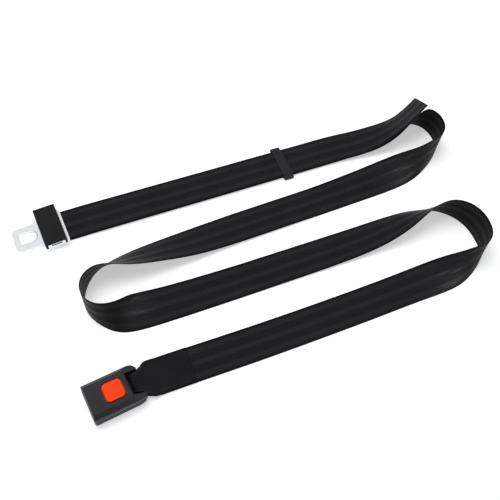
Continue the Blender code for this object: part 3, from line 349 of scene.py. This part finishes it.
def buckle_stations():
    """Under layer into the throat, round the webbing bar, and the sewn layer back on top."""
    inside = [buckle_frame @ Vector((x, 0, 0)) for x in (WEBBING_BAR[0], THROAT_OUT)]
    places, slopes = spline([(p.x, p.y) for p in inside] + SEWN_ROUTE, SEWN_STEP)
    under_rest = WEBBING_THICK / 2
    over_rest = under_rest + WEBBING_THICK + LAYER_GAP
    under_z = WEBBING_BAR[1] - WRAP_RADIUS
    over_z = WEBBING_BAR[1] + WRAP_RADIUS
    under, over = [], []
    for (x, y), slope in zip(places, slopes):
        ahead = Vector((slope[0], slope[1], 0)).normalized()
        side = Vector((-ahead.y, ahead.x, 0))
        local = (buckle_frame.inverted() @ Vector((x, y, 0))).x
        down = smooth_step(x, inside[0].x, FLOOR_FROM_X)
        under_middle = Vector((x, y, under_z + (under_rest - under_z) * down))
        over_middle = Vector((x, y, over_z + (over_rest - over_z) * down))
        under.append(folded_station(under_middle, side, local))
        over.append(folded_station(over_middle, side, local))
    around = [folded_station(buckle_frame @ Vector((x, 0, z)), under[0][1], x)
              for x, z in circle_part(WEBBING_BAR, WRAP_RADIUS, 258, 102, 14)]
    return list(reversed(under)) + around + over


# places across the webbing, from edge to edge, closer together near the edges
ACROSS = [-1, -0.985, -0.96, -0.92, -0.86, -0.78, -0.68, -0.52, -0.35, -0.18, 0]
ACROSS += [-t for t in reversed(ACROSS[:-1])]


def strap_mesh(name, stations, profile, plain_after):
    """Closed strap of the profile's thickness: UV map in metres, and which part is plain."""
    build = bmesh.new()
    uv = build.loops.layers.uv.new("strap_uv")
    plain = build.verts.layers.float.new("plain")
    folded = build.verts.layers.float.new("folded")
    last = len(stations) - 1
    rings = []
    along = 0.0
    for i, (middle, side, width, thick, fold) in enumerate(stations):
        ahead = (stations[min(i + 1, last)][0] - stations[max(i - 1, 0)][0]).normalized()
        side = (side - ahead * side.dot(ahead)).normalized()
        up = ahead.cross(side).normalized()
        if i:
            along += (middle - stations[i - 1][0]).length
        points = []
        for sign in (-1, 1):
            for t in (ACROSS if sign < 0 else ACROSS[::-1]):
                out, lift = profile(t, fold, along)
                point = middle + side * (t * width / 2) + up * (sign * out * thick / 2 + lift)
                points.append((point, t))
        sunk = min(0.0, min(point.z for point, t in points))
        ring = []
        for point, t in points:
            corner = build.verts.new((point - Vector((0, 0, sunk))) * MM + layout)
            # the doubled cloth is plain too
            corner[plain] = 1.0 if i >= plain_after else min(1.0, fold * 3)
            corner[folded] = fold
            ring.append((corner, t * WEBBING_WIDTH / 2 * MM, along * MM))
        rings.append(ring)
    for near, far in zip(rings, rings[1:]):
        count = len(near)
        for k in range(count):
            j = (k + 1) % count
            face = build.faces.new((near[k][0], near[j][0], far[j][0], far[k][0]))
            for loop, corner in zip(face.loops, (near[k], near[j], far[j], far[k])):
                loop[uv].uv = corner[1:]
    for ring in (rings[0][::-1], rings[-1]):
        face = build.faces.new([corner[0] for corner in ring])
        for loop, corner in zip(face.loops, ring):
            loop[uv].uv = corner[1:]
    bmesh.ops.triangulate(build, faces=[f for f in build.faces if len(f.verts) > 4])
    bmesh.ops.recalc_face_normals(build, faces=build.faces)
    mesh = bpy.data.meshes.new(name)
    build.to_mesh(mesh)
    build.free()
    mesh.shade_smooth()
    made = bpy.data.objects.new(name, mesh)
    bpy.context.scene.collection.objects.link(made)
    return made, along * MM


def selvedge(t, fold, along):
    """Half thickness and lift across the webbing: rounded woven edges, a rolled rim where folded."""
    out = max(0.12, (1 - abs(t) ** 14) ** 0.5)
    rim = smooth_step(abs(t), 0.70, 0.88) * (1 - smooth_step(abs(t), 0.97, 1.0))
    hollow = 1 - smooth_step(abs(t), 0.3, 0.7)
    wave = 0.16 * math.sin(along * 0.42 + 2.2 * t) * math.cos(2.4 * t)
    lumps = fold * (1.3 * rim - 0.25 * hollow)
    return out * (1 + max(lumps, -0.2)), fold * wave


strands = lay(STRAP_ROUTE, lambda value: strand_lift(value[0], value[1]))
tail = list(reversed(lay(TAIL_ROUTE, tail_height)))
buckle_end = buckle_stations()
stations = tail + adjuster_stations() + strands + buckle_end
sewn_from = len(stations) - len(buckle_end) // 2
webbing, webbing_length = strap_mesh("webbing_woven", stations, selvedge, sewn_from)

# Woven polyester, dyed black: a dull satin, with lengthwise bands where the satin face turns,
# whose lighter colour is painted sheen, a fine herringbone, and dull dense edges
cloth, tree, shader = surface("black_polyester_webbing")
place = node(tree, "ShaderNodeUVMap", uv_map="strap_uv").outputs[0]
parts = node(tree, "ShaderNodeSeparateXYZ", {0: place})
across, along = parts.outputs["X"], parts.outputs["Y"]
sewn = node(tree, "ShaderNodeAttribute", attribute_name="plain").outputs["Fac"]
woven = maths(tree, "SUBTRACT", 1.0, sewn)
# bands 8 mm wide, one light band in the middle and one near each edge; their lighter colour is painted
# sheen, their smoothness and rise are the weave's
BAND_PITCH = 0.0160
panel_and_painted_sheen = maths(tree, "COSINE", maths(tree, "MULTIPLY", across, 2 * math.pi / BAND_PITCH))
panel_and_painted_sheen = node(tree, "ShaderNodeMapRange", {"Value": panel_and_painted_sheen, "From Min": -0.2, "From Max": 0.8},
            interpolation_type="SMOOTHSTEP").outputs[0]
panel_and_painted_sheen = maths(tree, "MULTIPLY", panel_and_painted_sheen, woven)
# herringbone: diagonal ribs that turn back at each band; ribs are 0.8 mm apart on the real
# cloth and are drawn 1.7 mm apart so that they show
RIB_PITCH = 0.0017
slant = maths(tree, "ADD", maths(tree, "PINGPONG", across, BAND_PITCH / 4), along)
rib = maths(tree, "SINE", maths(tree, "MULTIPLY", slant, 2 * math.pi / RIB_PITCH))
thread_place = node(tree, "ShaderNodeMapping", {"Vector": place, "Scale": (1, 0.06, 1)}).outputs[0]
thread = noise(tree, thread_place, 900.0, 2.0)
cloud = noise(tree, place, 32.0, 3.0)
# the rolled rim of the fold gets a painted highlight, a light line 20.5 mm from the middle
from_middle = maths(tree, "ABSOLUTE", across)
fold = node(tree, "ShaderNodeAttribute", attribute_name="folded").outputs["Fac"]
painted_rim_highlight = maths(tree, "MULTIPLY", maths(tree, "COMPARE", from_middle, 0.0205, 0.0011), fold)
edge = node(tree, "ShaderNodeMapRange", {"Value": from_middle, "From Min": 0.0216, "From Max": 0.0232})
# the tone takes a share of each of these, the bands' as painted sheen and the rim's as a painted
# highlight, and the dense edges darken it
tone = 0.0
for part, share in ((panel_and_painted_sheen, 0.30), (painted_rim_highlight, 0.5), (thread, 0.40), (cloud, 0.30), (rib, 0.22)):
    tone = maths(tree, "MULTIPLY_ADD", part, share, tone)
tone = maths(tree, "MULTIPLY_ADD", edge.outputs[0], -0.9, tone, use_clamp=True)
tree.links.new(blend(tree, tone, "#060607", "#2c2c2f"), shader.inputs["Base Color"])
dull = node(tree, "ShaderNodeMapRange", {"Value": panel_and_painted_sheen, "To Min": 0.55, "To Max": 0.36})
tree.links.new(dull.outputs[0], shader.inputs["Roughness"])
height = maths(tree, "MULTIPLY_ADD", panel_and_painted_sheen, 0.5, rib)
bump = node(tree, "ShaderNodeBump", {"Height": height, "Strength": 0.3, "Distance": 0.0002})
tree.links.new(bump.outputs[0], shader.inputs["Normal"])
shader.inputs["Specular IOR Level"].default_value = 0.05
webbing.data.materials.append(cloth)
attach(webbing, "strap")
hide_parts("webbing")


# Sewing thread. Bonded polyester thread, sewn through both layers of the folded end in short
# rows that lie across the strap, behind the buckle.
def start_box(low, high):
    """Box between two corners, in mm, left in edit mode with nothing else selected."""
    if bpy.context.mode != "OBJECT":
        bpy.ops.object.mode_set(mode="OBJECT")
    bpy.ops.object.select_all(action="DESELECT")
    middle = (Vector(low) + Vector(high)) / 2
    bpy.ops.mesh.primitive_cube_add(size=1.0, location=middle)
    piece = bpy.context.active_object
    piece.scale = Vector(high) - Vector(low)
    bpy.ops.object.transform_apply(location=True, rotation=False, scale=True)
    bpy.ops.object.mode_set(mode="EDIT")
    bpy.ops.mesh.select_mode(type="EDGE")
    return piece


def finish_piece(piece, name, place, material, body, nodes=()):
    """Name a piece, put its place in its mesh, and give it its material and its body."""
    bpy.ops.object.mode_set(mode="OBJECT")
    piece.name = name
    piece.data.name = name
    piece.data.transform(Matrix.Translation(layout) @ Matrix.Scale(MM, 4) @ place)
    bpy.ops.object.select_all(action="DESELECT")
    piece.select_set(True)
    bpy.context.view_layer.objects.active = piece
    bpy.ops.object.shade_smooth_by_angle(angle=math.radians(32))
    piece.data.materials.clear()
    piece.data.materials.append(material)
    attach(piece, body)
    if nodes:
        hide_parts(*nodes)


# spun thread, slightly brighter than the cloth because it is bonded and smooth
thread_black, tree, shader = surface("bonded_thread_black")
place = node(tree, "ShaderNodeTexCoord").outputs["Object"]
twist = noise(tree, place, 1500.0, 1.0)
tree.links.new(blend(tree, twist, "#0a0a0b", "#242427"), shader.inputs["Base Color"])
shader.inputs["Roughness"].default_value = 0.45
shader.inputs["Specular IOR Level"].default_value = 0.18

STITCH_LENGTH = 3.0
STITCH_THICK = 0.55
STITCH_SLANT = 14
STITCH_STEP = 3.7
STITCH_PROUD = 0.08
STITCH_ROWS = 11
ROW_START = (66.0, 231.1)
ROW_STEP = 3.0
ROW_STITCHES = 11
SEWN_TOP = 2 * WEBBING_THICK + LAYER_GAP
bpy.ops.object.select_all(action="DESELECT")
bpy.ops.mesh.primitive_uv_sphere_add(segments=6, ring_count=4, radius=0.5, location=(0, 0, 0))
stitch = bpy.context.active_object
stitch.scale = (STITCH_THICK, STITCH_LENGTH, STITCH_THICK)
bpy.ops.object.transform_apply(location=False, rotation=False, scale=True)
copies = [stitch]
for row in range(STITCH_ROWS):
    # every second row has one stitch less and slants the other way
    count = ROW_STITCHES - row % 2
    slant = STITCH_SLANT if row % 2 else -STITCH_SLANT
    for k in range(count):
        copy = bpy.data.objects.new("stitch", stitch.data.copy())
        bpy.context.scene.collection.objects.link(copy)
        offset = (k - (count - 1) / 2) * STITCH_STEP
        copy.location = (ROW_START[0] + row * ROW_STEP, ROW_START[1] + offset, SEWN_TOP + STITCH_PROUD)
        copy.rotation_euler = (0, 0, math.radians(slant))
        copies.append(copy)
bpy.data.objects.remove(copies.pop(0))
for copy in copies:
    copy.select_set(True)
bpy.context.view_layer.objects.active = copies[0]
bpy.ops.object.join()
bpy.ops.object.transform_apply(location=True, rotation=True, scale=True)
finish_piece(bpy.context.active_object, "sewn_threads", Matrix(), thread_black, "strap")


# Keeper. A flat loop of black ABS that slides on strand 1 and holds the loose tail down. It is
# moulded in one, with rounded long edges.
GRAIN_PITCH = 0.7  # mm


def plastic(name, dark, light, roughness, shine, bump_strength=0.1):
    """Moulded plastic with a fine spark-eroded texture."""
    made, tree, shader = surface(name)
    place = node(tree, "ShaderNodeTexCoord").outputs["Object"]
    grain = noise(tree, place, 1000 / GRAIN_PITCH, 2.0)
    cloud = noise(tree, place, 70.0, 3.0)
    tone = maths(tree, "MULTIPLY_ADD", cloud, 0.5, maths(tree, "MULTIPLY_ADD", grain, 0.5, 0.0))
    tree.links.new(blend(tree, tone, dark, light), shader.inputs["Base Color"])
    bump = node(tree, "ShaderNodeBump", {"Height": grain, "Strength": bump_strength, "Distance": 0.0001})
    tree.links.new(bump.outputs[0], shader.inputs["Normal"])
    shader.inputs["Roughness"].default_value = roughness
    shader.inputs["Specular IOR Level"].default_value = shine
    return made


def pick_edges(piece, test):
    """Select the edges whose two ends pass a test."""
    bpy.ops.mesh.select_mode(type="EDGE")
    bpy.ops.mesh.select_all(action="DESELECT")
    build = bmesh.from_edit_mesh(piece.data)
    for edge in build.edges:
        edge.select = test(*(corner.co for corner in edge.verts))
    build.select_flush_mode()
    bmesh.update_edit_mesh(piece.data)


def pick_faces(piece, test):
    """Select the faces whose middle and normal pass a test."""
    bpy.ops.mesh.select_mode(type="FACE")
    bpy.ops.mesh.select_all(action="DESELECT")
    build = bmesh.from_edit_mesh(piece.data)
    for face in build.faces:
        face.select = test(face.calc_center_median(), face.normal)
    build.select_flush_mode()
    bmesh.update_edit_mesh(piece.data)


def along_axis(a, b, axis):
    """Whether an edge lies along one axis."""
    return all(abs(a[k] - b[k]) < 0.001 for k in range(3) if k != axis)


def round_edges(piece, width, segments=3, degrees=28):
    """Bevel modifier on all sharp edges, applied."""
    bpy.ops.object.mode_set(mode="OBJECT")
    step = piece.modifiers.new("rounding", "BEVEL")
    step.width = width
    step.segments = segments
    step.limit_method = "ANGLE"
    step.angle_limit = math.radians(degrees)
    bpy.context.view_layer.objects.active = piece
    bpy.ops.object.modifier_apply(modifier=step.name)


def cut_out(piece, shape, operation="DIFFERENCE"):
    """Take one closed shape out of a piece, or join it on, and delete the shape."""
    if bpy.context.mode != "OBJECT":
        bpy.ops.object.mode_set(mode="OBJECT")
    step = piece.modifiers.new("shape", "BOOLEAN")
    step.operation = operation
    step.solver = "EXACT"
    step.object = shape
    bpy.ops.object.select_all(action="DESELECT")
    piece.select_set(True)
    bpy.context.view_layer.objects.active = piece
    bpy.ops.object.modifier_apply(modifier=step.name)
    bpy.data.objects.remove(shape)


# moulded with a fine texture: dark grey, a shade lighter than the webbing, soft edge lights
keeper_grey = plastic("moulded_keeper_grey", "#1d1d1e", "#303032", 0.5, 0.07)
KEEPER_WALL = 1.2
KEEPER_CORNER = 1.6
KEEPER_OPENING_HALF = 25.0
keeper_size = (keeper_high - keeper_low) / MM
half_x, half_y, top_z = keeper_size.x / 2, keeper_size.y / 2, keeper_size.z
keeper = start_box((-half_x, -half_y, 0), (half_x, half_y, top_z))
pick_edges(keeper, lambda a, b: along_axis(a, b, 0))
bpy.ops.mesh.bevel(offset=KEEPER_CORNER, segments=5, affect="EDGES")
round_edges(keeper, 0.45)
opening = start_box((-2 * half_x, -KEEPER_OPENING_HALF, KEEPER_WALL),
                    (2 * half_x, KEEPER_OPENING_HALF, top_z - KEEPER_WALL))
cut_out(keeper, opening)
finish_piece(keeper, "keeper_loop", Matrix.Translation((KEEPER_X, KEEPER_Y, 0)), keeper_grey, "loop",
             ["keeper"])


# Tongue. A plate of chromed steel: a blade with a D-shaped window that the latch catches, and
# two folded flanges that guide the bar. The window's rim is coined, so it stands a little
# proud. The plate keeps its CAD shape.
def metal(name, dark, light, roughness):
    """Plated steel with a slightly uneven polish."""
    made, tree, shader = surface(name)
    place = node(tree, "ShaderNodeTexCoord").outputs["Object"]
    cloud = noise(tree, place, 220.0, 3.0)
    tree.links.new(blend(tree, cloud, dark, light), shader.inputs["Base Color"])
    polish = {"Value": cloud, "To Min": roughness - 0.05, "To Max": roughness + 0.07}
    rough = node(tree, "ShaderNodeMapRange", polish)
    tree.links.new(rough.outputs[0], shader.inputs["Roughness"])
    shader.inputs["Metallic"].default_value = 1.0
    return made


def finish_node(name, material):
    """Give a CAD node one material."""
    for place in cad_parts[name].material_slots:
        place.material = material


# bright nickel-chrome plate over pressed steel: a soft silver mirror
bright = metal("bright_chrome_steel", "#d8dbde", "#ebedef", 0.2)
finish_node("tongue_plate", bright)

WINDOW_FRONT = -61.5
WINDOW_HALF = 8.4
WINDOW_NOSE = -48.5
PLATE_THICK = 2.5
RIM_REACH = 1.3
RIM_CORNER = 2.6
RIM_THICK = 1.15
RIM_FLATTEN = 0.36
rim_half = WINDOW_HALF + RIM_REACH
rim_front = WINDOW_FRONT - RIM_REACH
rim_points = circle_part((rim_front + RIM_CORNER, RIM_CORNER - rim_half), RIM_CORNER, 180, 270, 5)
rim_points += circle_part((WINDOW_NOSE, 0), rim_half, -90, 90, 24)
rim_points += circle_part((rim_front + RIM_CORNER, rim_half - RIM_CORNER), RIM_CORNER, 90, 180, 5)
rim_curve = bpy.data.curves.new("window_rim", "CURVE")
rim_curve.dimensions = "3D"
rim_line = rim_curve.splines.new("POLY")
rim_line.points.add(len(rim_points) - 1)
for point, (x, y) in zip(rim_line.points, rim_points):
    point.co = (x, y, 0, 1)
rim_line.use_cyclic_u = True
rim_curve.bevel_depth = RIM_THICK
rim_curve.bevel_resolution = 4
rim = bpy.data.objects.new("window_rim", rim_curve)
bpy.context.scene.collection.objects.link(rim)
bpy.ops.object.select_all(action="DESELECT")
rim.select_set(True)
bpy.context.view_layer.objects.active = rim
bpy.ops.object.convert(target="MESH")
rim = bpy.context.active_object
squash = Matrix.Translation((0, 0, PLATE_THICK)) @ Matrix.Diagonal((1, 1, RIM_FLATTEN, 1))
finish_piece(rim, "tongue_window_rim", tongue_frame @ squash, bright, "strap")

# Adjuster. A knurled bar of phosphated and oiled steel, near black with a dull metal shine,
# that the webbing turns round. It slides a little in the flanges' slots and pinches the strap.
# The bar keeps its CAD shape.
blackened = metal("phosphated_black_steel", "#1c1d1e", "#333436", 0.45)
finish_node("lock_bar", blackened)

# Cover of the adjuster. A cap of black ABS that clips over the flanges, with a flat top and
# two skirts. Its top is smooth, with small radii from the mould.
cover_black = plastic("moulded_cover_black", "#171718", "#262627", 0.42, 0.06, bump_strength=0.05)
COVER_FRONT, COVER_REAR, COVER_HALF = -33.0, -3.4, 29.7
COVER_LOW, COVER_HIGH = 4.5, 15.0
COVER_WALL = 1.8
COVER_HOLLOW_HALF = 28.5
SIDE_GAP = (28.0, 32.0)
SIDE_GAP_BELOW = 3.0
inside_front, inside_rear, below = COVER_FRONT + COVER_WALL, COVER_REAR - COVER_WALL, COVER_LOW - 2
cover = start_box((COVER_FRONT, -COVER_HALF, COVER_LOW), (COVER_REAR, COVER_HALF, COVER_HIGH))
pick_edges(cover, lambda a, b: along_axis(a, b, 2))
bpy.ops.mesh.bevel(offset=1.1, segments=4, affect="EDGES")
round_edges(cover, 0.8)
hollow = start_box((inside_front, -COVER_HOLLOW_HALF, below),
                   (inside_rear, COVER_HOLLOW_HALF, COVER_HIGH - COVER_WALL))
cut_out(cover, hollow)
for side in (-1, 1):
    near, far = sorted(side * y for y in SIDE_GAP)
    gap = start_box((inside_front, near, below), (inside_rear, far, COVER_HIGH - SIDE_GAP_BELOW))
    cut_out(cover, gap)
finish_piece(cover, "adjuster_cover", tongue_frame, cover_black, "strap",
             ["tongue_cover"])

# Buckle housing. Two shells of black ABS screwed together from below: a deep tray, and a top
# with broad chamfers along its sides, a step behind the button, and a sloping, open throat
# between two lugs where the webbing goes in.
housing_black = plastic("moulded_housing_black", "#242425", "#3c3c3f", 0.34, 0.08, bump_strength=0.14)


def slice_off(point, normal):
    """Cut off all of the edited piece that lies beyond a plane, and close the cut."""
    bpy.ops.mesh.select_all(action="SELECT")
    bpy.ops.mesh.bisect(plane_co=point, plane_no=normal, use_fill=True, clear_outer=True)


def slice_through(first, second, outward):
    """Cut along the plane through two points of a section, level in the third direction."""
    run = Vector(second) - Vector(first)
    level = Vector((0, 1, 0)) if abs(run.y) < 0.001 else Vector((1, 0, 0))
    if abs(run.z) < 0.001:
        level = Vector((0, 0, 1))
    normal = run.cross(level).normalized()
    if normal.dot(Vector(outward)) < 0:
        normal = -normal
    slice_off(first, normal)


def taper_rear(side, corners):
    """Draw one side of the edited piece in to the rear, through three corners of its plan."""
    start, shoulder, end = [(x, side * y, 0) for x, y in corners]
    slice_through(start, shoulder, (0, side, 0))
    slice_through(shoulder, end, (1, side, 0))


BUCKLE_LENGTH = 69.0
BUCKLE_HEIGHT = 26.0
HOUSING_HALF = 24.0
PARTING = 11.1
FRONT_CORNER = 3.0
EDGE_ROUND = 0.7
# cutters reach this far past the shells
PAST = 6.0
# the top shell's outline: at the joint, at the chamfers' foot and at the top
CHAMFER_Z = 19.5
JOINT_FRONT, CHAMFER_FRONT, TOP_FRONT = 0.3, 0.6, 2.2
JOINT_HALF, CHAMFER_HALF, TOP_HALF = 23.55, 23.1, 18.1
# x and half width where the sides start to draw in, at the lugs' shoulder and at their end
TOP_CORNERS = ((57.0, 23.6), (64.8, 22.0), (68.8, 17.7))
CAVITY_CORNERS = ((57.0, 21.4), (64.2, 20.2), (67.4, 16.8))
TRAY_CORNERS = ((57.0, 24.0), (64.8, 22.6), (69.0, 18.5))
WELL_CORNERS = ((57.0, 21.7), (64.0, 20.6), (67.4, 17.3))
upper = start_box((0, -HOUSING_HALF, PARTING), (BUCKLE_LENGTH, HOUSING_HALF, BUCKLE_HEIGHT))
pick_edges(upper, lambda a, b: along_axis(a, b, 2) and a.x < 1)
bpy.ops.mesh.bevel(offset=FRONT_CORNER, segments=5, affect="EDGES")
slice_through((JOINT_FRONT, 0, PARTING), (CHAMFER_FRONT, 0, CHAMFER_Z), (-1, 0, 0))
slice_through((CHAMFER_FRONT, 0, CHAMFER_Z), (TOP_FRONT, 0, BUCKLE_HEIGHT), (-1, 0, 1))
for side in (-1, 1):
    slice_through((0, side * JOINT_HALF, PARTING), (0, side * CHAMFER_HALF, CHAMFER_Z), (0, side, 0))
    slice_through((0, side * CHAMFER_HALF, CHAMFER_Z), (0, side * TOP_HALF, BUCKLE_HEIGHT), (0, side, 1))
    taper_rear(side, TOP_CORNERS)

# behind the button the top steps down and slopes to the rear
STEP_X, STEP_Z = 51.5, 23.5
REAR_TOP = 15.5
cut_rear = BUCKLE_LENGTH + PAST
slope = (REAR_TOP - STEP_Z) / (BUCKLE_LENGTH - STEP_X)
step_cut = start_box((STEP_X, -HOUSING_HALF - PAST, STEP_Z),
                     (cut_rear, HOUSING_HALF + PAST, BUCKLE_HEIGHT + PAST))
pick_edges(step_cut, lambda a, b: along_axis(a, b, 1) and a.x > BUCKLE_LENGTH and a.z < BUCKLE_HEIGHT)
bpy.ops.transform.translate(value=(0, 0, slope * (cut_rear - STEP_X)))
cut_out(upper, step_cut)
round_edges(upper, EDGE_ROUND)

# the cavity under the roof, with its own slopes at the front, the rear and the sides
CAVITY_FRONT, CAVITY_REAR, CAVITY_HALF, CAVITY_LOW = 2.1, 67.4, 21.5, 8.0
ROOF_LOW = 23.6
# two points of each slope: x and z, and for the sides y and z
FRONT_SLOPE = ((CAVITY_FRONT, 18.0), (3.6, ROOF_LOW))
REAR_SLOPE = ((50.0, 21.6), (69.0, 13.6))
SIDE_SLOPE = ((21.1, 18.7), (17.9, ROOF_LOW))
cavity = start_box((CAVITY_FRONT, -CAVITY_HALF, CAVITY_LOW), (CAVITY_REAR, CAVITY_HALF, ROOF_LOW))
for ends, outward in ((FRONT_SLOPE, (-1, 0, 1)), (REAR_SLOPE, (0, 0, 1))):
    slice_through(*[(x, 0, z) for x, z in ends], outward)
for side in (-1, 1):
    slice_through(*[(0, side * y, z) for y, z in SIDE_SLOPE], (0, side, 1))
    taper_rear(side, CAVITY_CORNERS)
cut_out(upper, cavity)
MOUTH_DEPTH, MOUTH_HALF, MOUTH_TOP = 4.0, 17.9, 15.1
mouth = start_box((-PAST, -MOUTH_HALF, CAVITY_LOW), (MOUTH_DEPTH, MOUTH_HALF, MOUTH_TOP))
cut_out(upper, mouth)
BUTTON_X = 34.0
BUTTON_HALF = 11.75
BUTTON_GAP = 1.1
BUTTON_CORNER = 5.0
hole_half = BUTTON_HALF + BUTTON_GAP
hole = start_box((BUTTON_X - hole_half, -hole_half, ROOF_LOW - PAST),
                 (BUTTON_X + hole_half, hole_half, BUCKLE_HEIGHT + PAST))
pick_edges(hole, lambda a, b: along_axis(a, b, 2))
bpy.ops.mesh.bevel(offset=BUTTON_CORNER + BUTTON_GAP, segments=8, affect="EDGES")
cut_out(upper, hole)
# the throat widens from its front to the cutter's end, past the rear
THROAT_FRONT, THROAT_END = 52.8, 73
THROAT_FRONT_HALF, THROAT_END_HALF = 14.4, 16.7
throat = start_box((THROAT_FRONT, -THROAT_FRONT_HALF, 0),
                   (THROAT_END, THROAT_FRONT_HALF, BUCKLE_HEIGHT + PAST))
pick_faces(throat, lambda middle, normal: normal.x > 0.9)
bpy.ops.transform.resize(value=(1, THROAT_END_HALF / THROAT_FRONT_HALF, 1))
cut_out(upper, throat)


def post(x, y, radius, low, high):
    """Round post or hole that stands upright."""
    if bpy.context.mode != "OBJECT":
        bpy.ops.object.mode_set(mode="OBJECT")
    bpy.ops.object.select_all(action="DESELECT")
    bpy.ops.mesh.primitive_cylinder_add(vertices=24, radius=radius, depth=high - low,
                                        location=(x, y, (low + high) / 2))
    return bpy.context.active_object


# the screws' posts, from the joint up to the roof
SCREW_FRONT, FRONT_POST_TOP = (5.5, 20.0), 18.0
SCREW_REAR, REAR_POST_TOP = (65.4, 18.0), 15.4
POST_RADIUS = 1.6
for side in (-1, 1):
    for (x, y), top in ((SCREW_FRONT, FRONT_POST_TOP), (SCREW_REAR, REAR_POST_TOP)):
        cut_out(upper, post(x, side * y, POST_RADIUS, PARTING, top), "UNION")
finish_piece(upper, "housing_top", buckle_frame, housing_black, "strap",
             ["upper_housing"])

# the tray below the joint, with a fine gap to the top shell
TRAY_TOP = PARTING - 0.3
TRAY_FRONT, TRAY_HALF, TRAY_FLOOR = 1.6, 21.9, 2.2
DRAFT_FROM = 1.2
NOTCH_X, NOTCH_HALF = 60, 16.3
POST_FOOT = 2.0
HEAD_RADIUS, HEAD_DEPTH = 1.5, 1.85
lower = start_box((0, -HOUSING_HALF, 0), (BUCKLE_LENGTH, HOUSING_HALF, TRAY_TOP))
pick_edges(lower, lambda a, b: along_axis(a, b, 2) and a.x < 1)
bpy.ops.mesh.bevel(offset=FRONT_CORNER, segments=5, affect="EDGES")
for side in (-1, 1):
    slice_through((0, side * HOUSING_HALF, DRAFT_FROM), (0, side * JOINT_HALF, PARTING), (0, side, 0))
    taper_rear(side, TRAY_CORNERS)
round_edges(lower, EDGE_ROUND)
well = start_box((TRAY_FRONT, -TRAY_HALF, TRAY_FLOOR), (CAVITY_REAR, TRAY_HALF, PARTING + PAST))
for side in (-1, 1):
    taper_rear(side, WELL_CORNERS)
cut_out(lower, well)
notch = start_box((NOTCH_X, -NOTCH_HALF, TRAY_FLOOR), (BUCKLE_LENGTH + PAST, NOTCH_HALF, PARTING + PAST))
cut_out(lower, notch)
for x, y in (SCREW_FRONT, SCREW_REAR):
    for side in (-1, 1):
        cut_out(lower, post(x, side * y, POST_RADIUS, POST_FOOT, TRAY_TOP), "UNION")
        # a hole for the screw's head, from below
        cut_out(lower, post(x, side * y, HEAD_RADIUS, -2.0, HEAD_DEPTH))
finish_piece(lower, "housing_tray", buckle_frame, housing_black, "strap",
             ["lower_housing"])

# Release button. A cap of orange-red ABS that stands just above the housing's top, with a
# shoulder that keeps it in and a faint dish for the thumb.
button_red = plastic("moulded_button_red", "#f83812", "#ff4a1c", 0.4, 0.15, bump_strength=0.04)
SHOULDER_REACH = 2.0
SHOULDER_LOW, SHOULDER_HIGH = 20.2, 21.6
BUTTON_RISE = 5.1
DISH_RIM, DISH_SLOPE, DISH_DEPTH = 1.0, 2.6, 0.35
shoulder = BUTTON_HALF + SHOULDER_REACH
button = start_box((BUTTON_X - shoulder, -shoulder, SHOULDER_LOW),
                   (BUTTON_X + shoulder, shoulder, SHOULDER_HIGH))
pick_edges(button, lambda a, b: along_axis(a, b, 2))
bpy.ops.mesh.bevel(offset=BUTTON_CORNER + SHOULDER_REACH, segments=8, affect="EDGES")
pick_faces(button, lambda middle, normal: normal.z > 0.9)
bpy.ops.mesh.inset(thickness=SHOULDER_REACH)
bpy.ops.mesh.extrude_region_move(TRANSFORM_OT_translate={"value": (0, 0, BUTTON_RISE)})
bpy.ops.mesh.inset(thickness=DISH_RIM)
bpy.ops.mesh.inset(thickness=DISH_SLOPE)
bpy.ops.transform.translate(value=(0, 0, -DISH_DEPTH))
round_edges(button, 0.6, segments=4)
finish_piece(button, "release_button", buckle_frame, button_red, "button",
             ["press_button"])

# Works of the buckle. A folded steel frame, latch plate, pin and webbing bar, blackened; zinc
# plated screws; springs of bare wire; and a nylon block that pushes the tongue out. They are
# hidden inside the housing, or seen only from below, and keep their CAD shapes.
zinc = metal("zinc_plated_steel", "#85878a", "#aeb0b3", 0.38)
wire = metal("spring_wire", "#6f7174", "#929497", 0.3)
nylon = plastic("moulded_nylon", "#bdbcb4", "#d3d2cb", 0.5, 0.4)
for material, names in (
    (blackened, ("buckle_frame", "latch_plate", "latch_pin", "webbing_bar")),
    (zinc, ("housing_screw_1", "housing_screw_2", "housing_screw_3", "housing_screw_4")),
    (wire, ("latch_spring_left", "latch_spring_right", "ejector_spring")),
    (nylon, ("ejector",)),
):
    for name in names:
        finish_node(name, material)
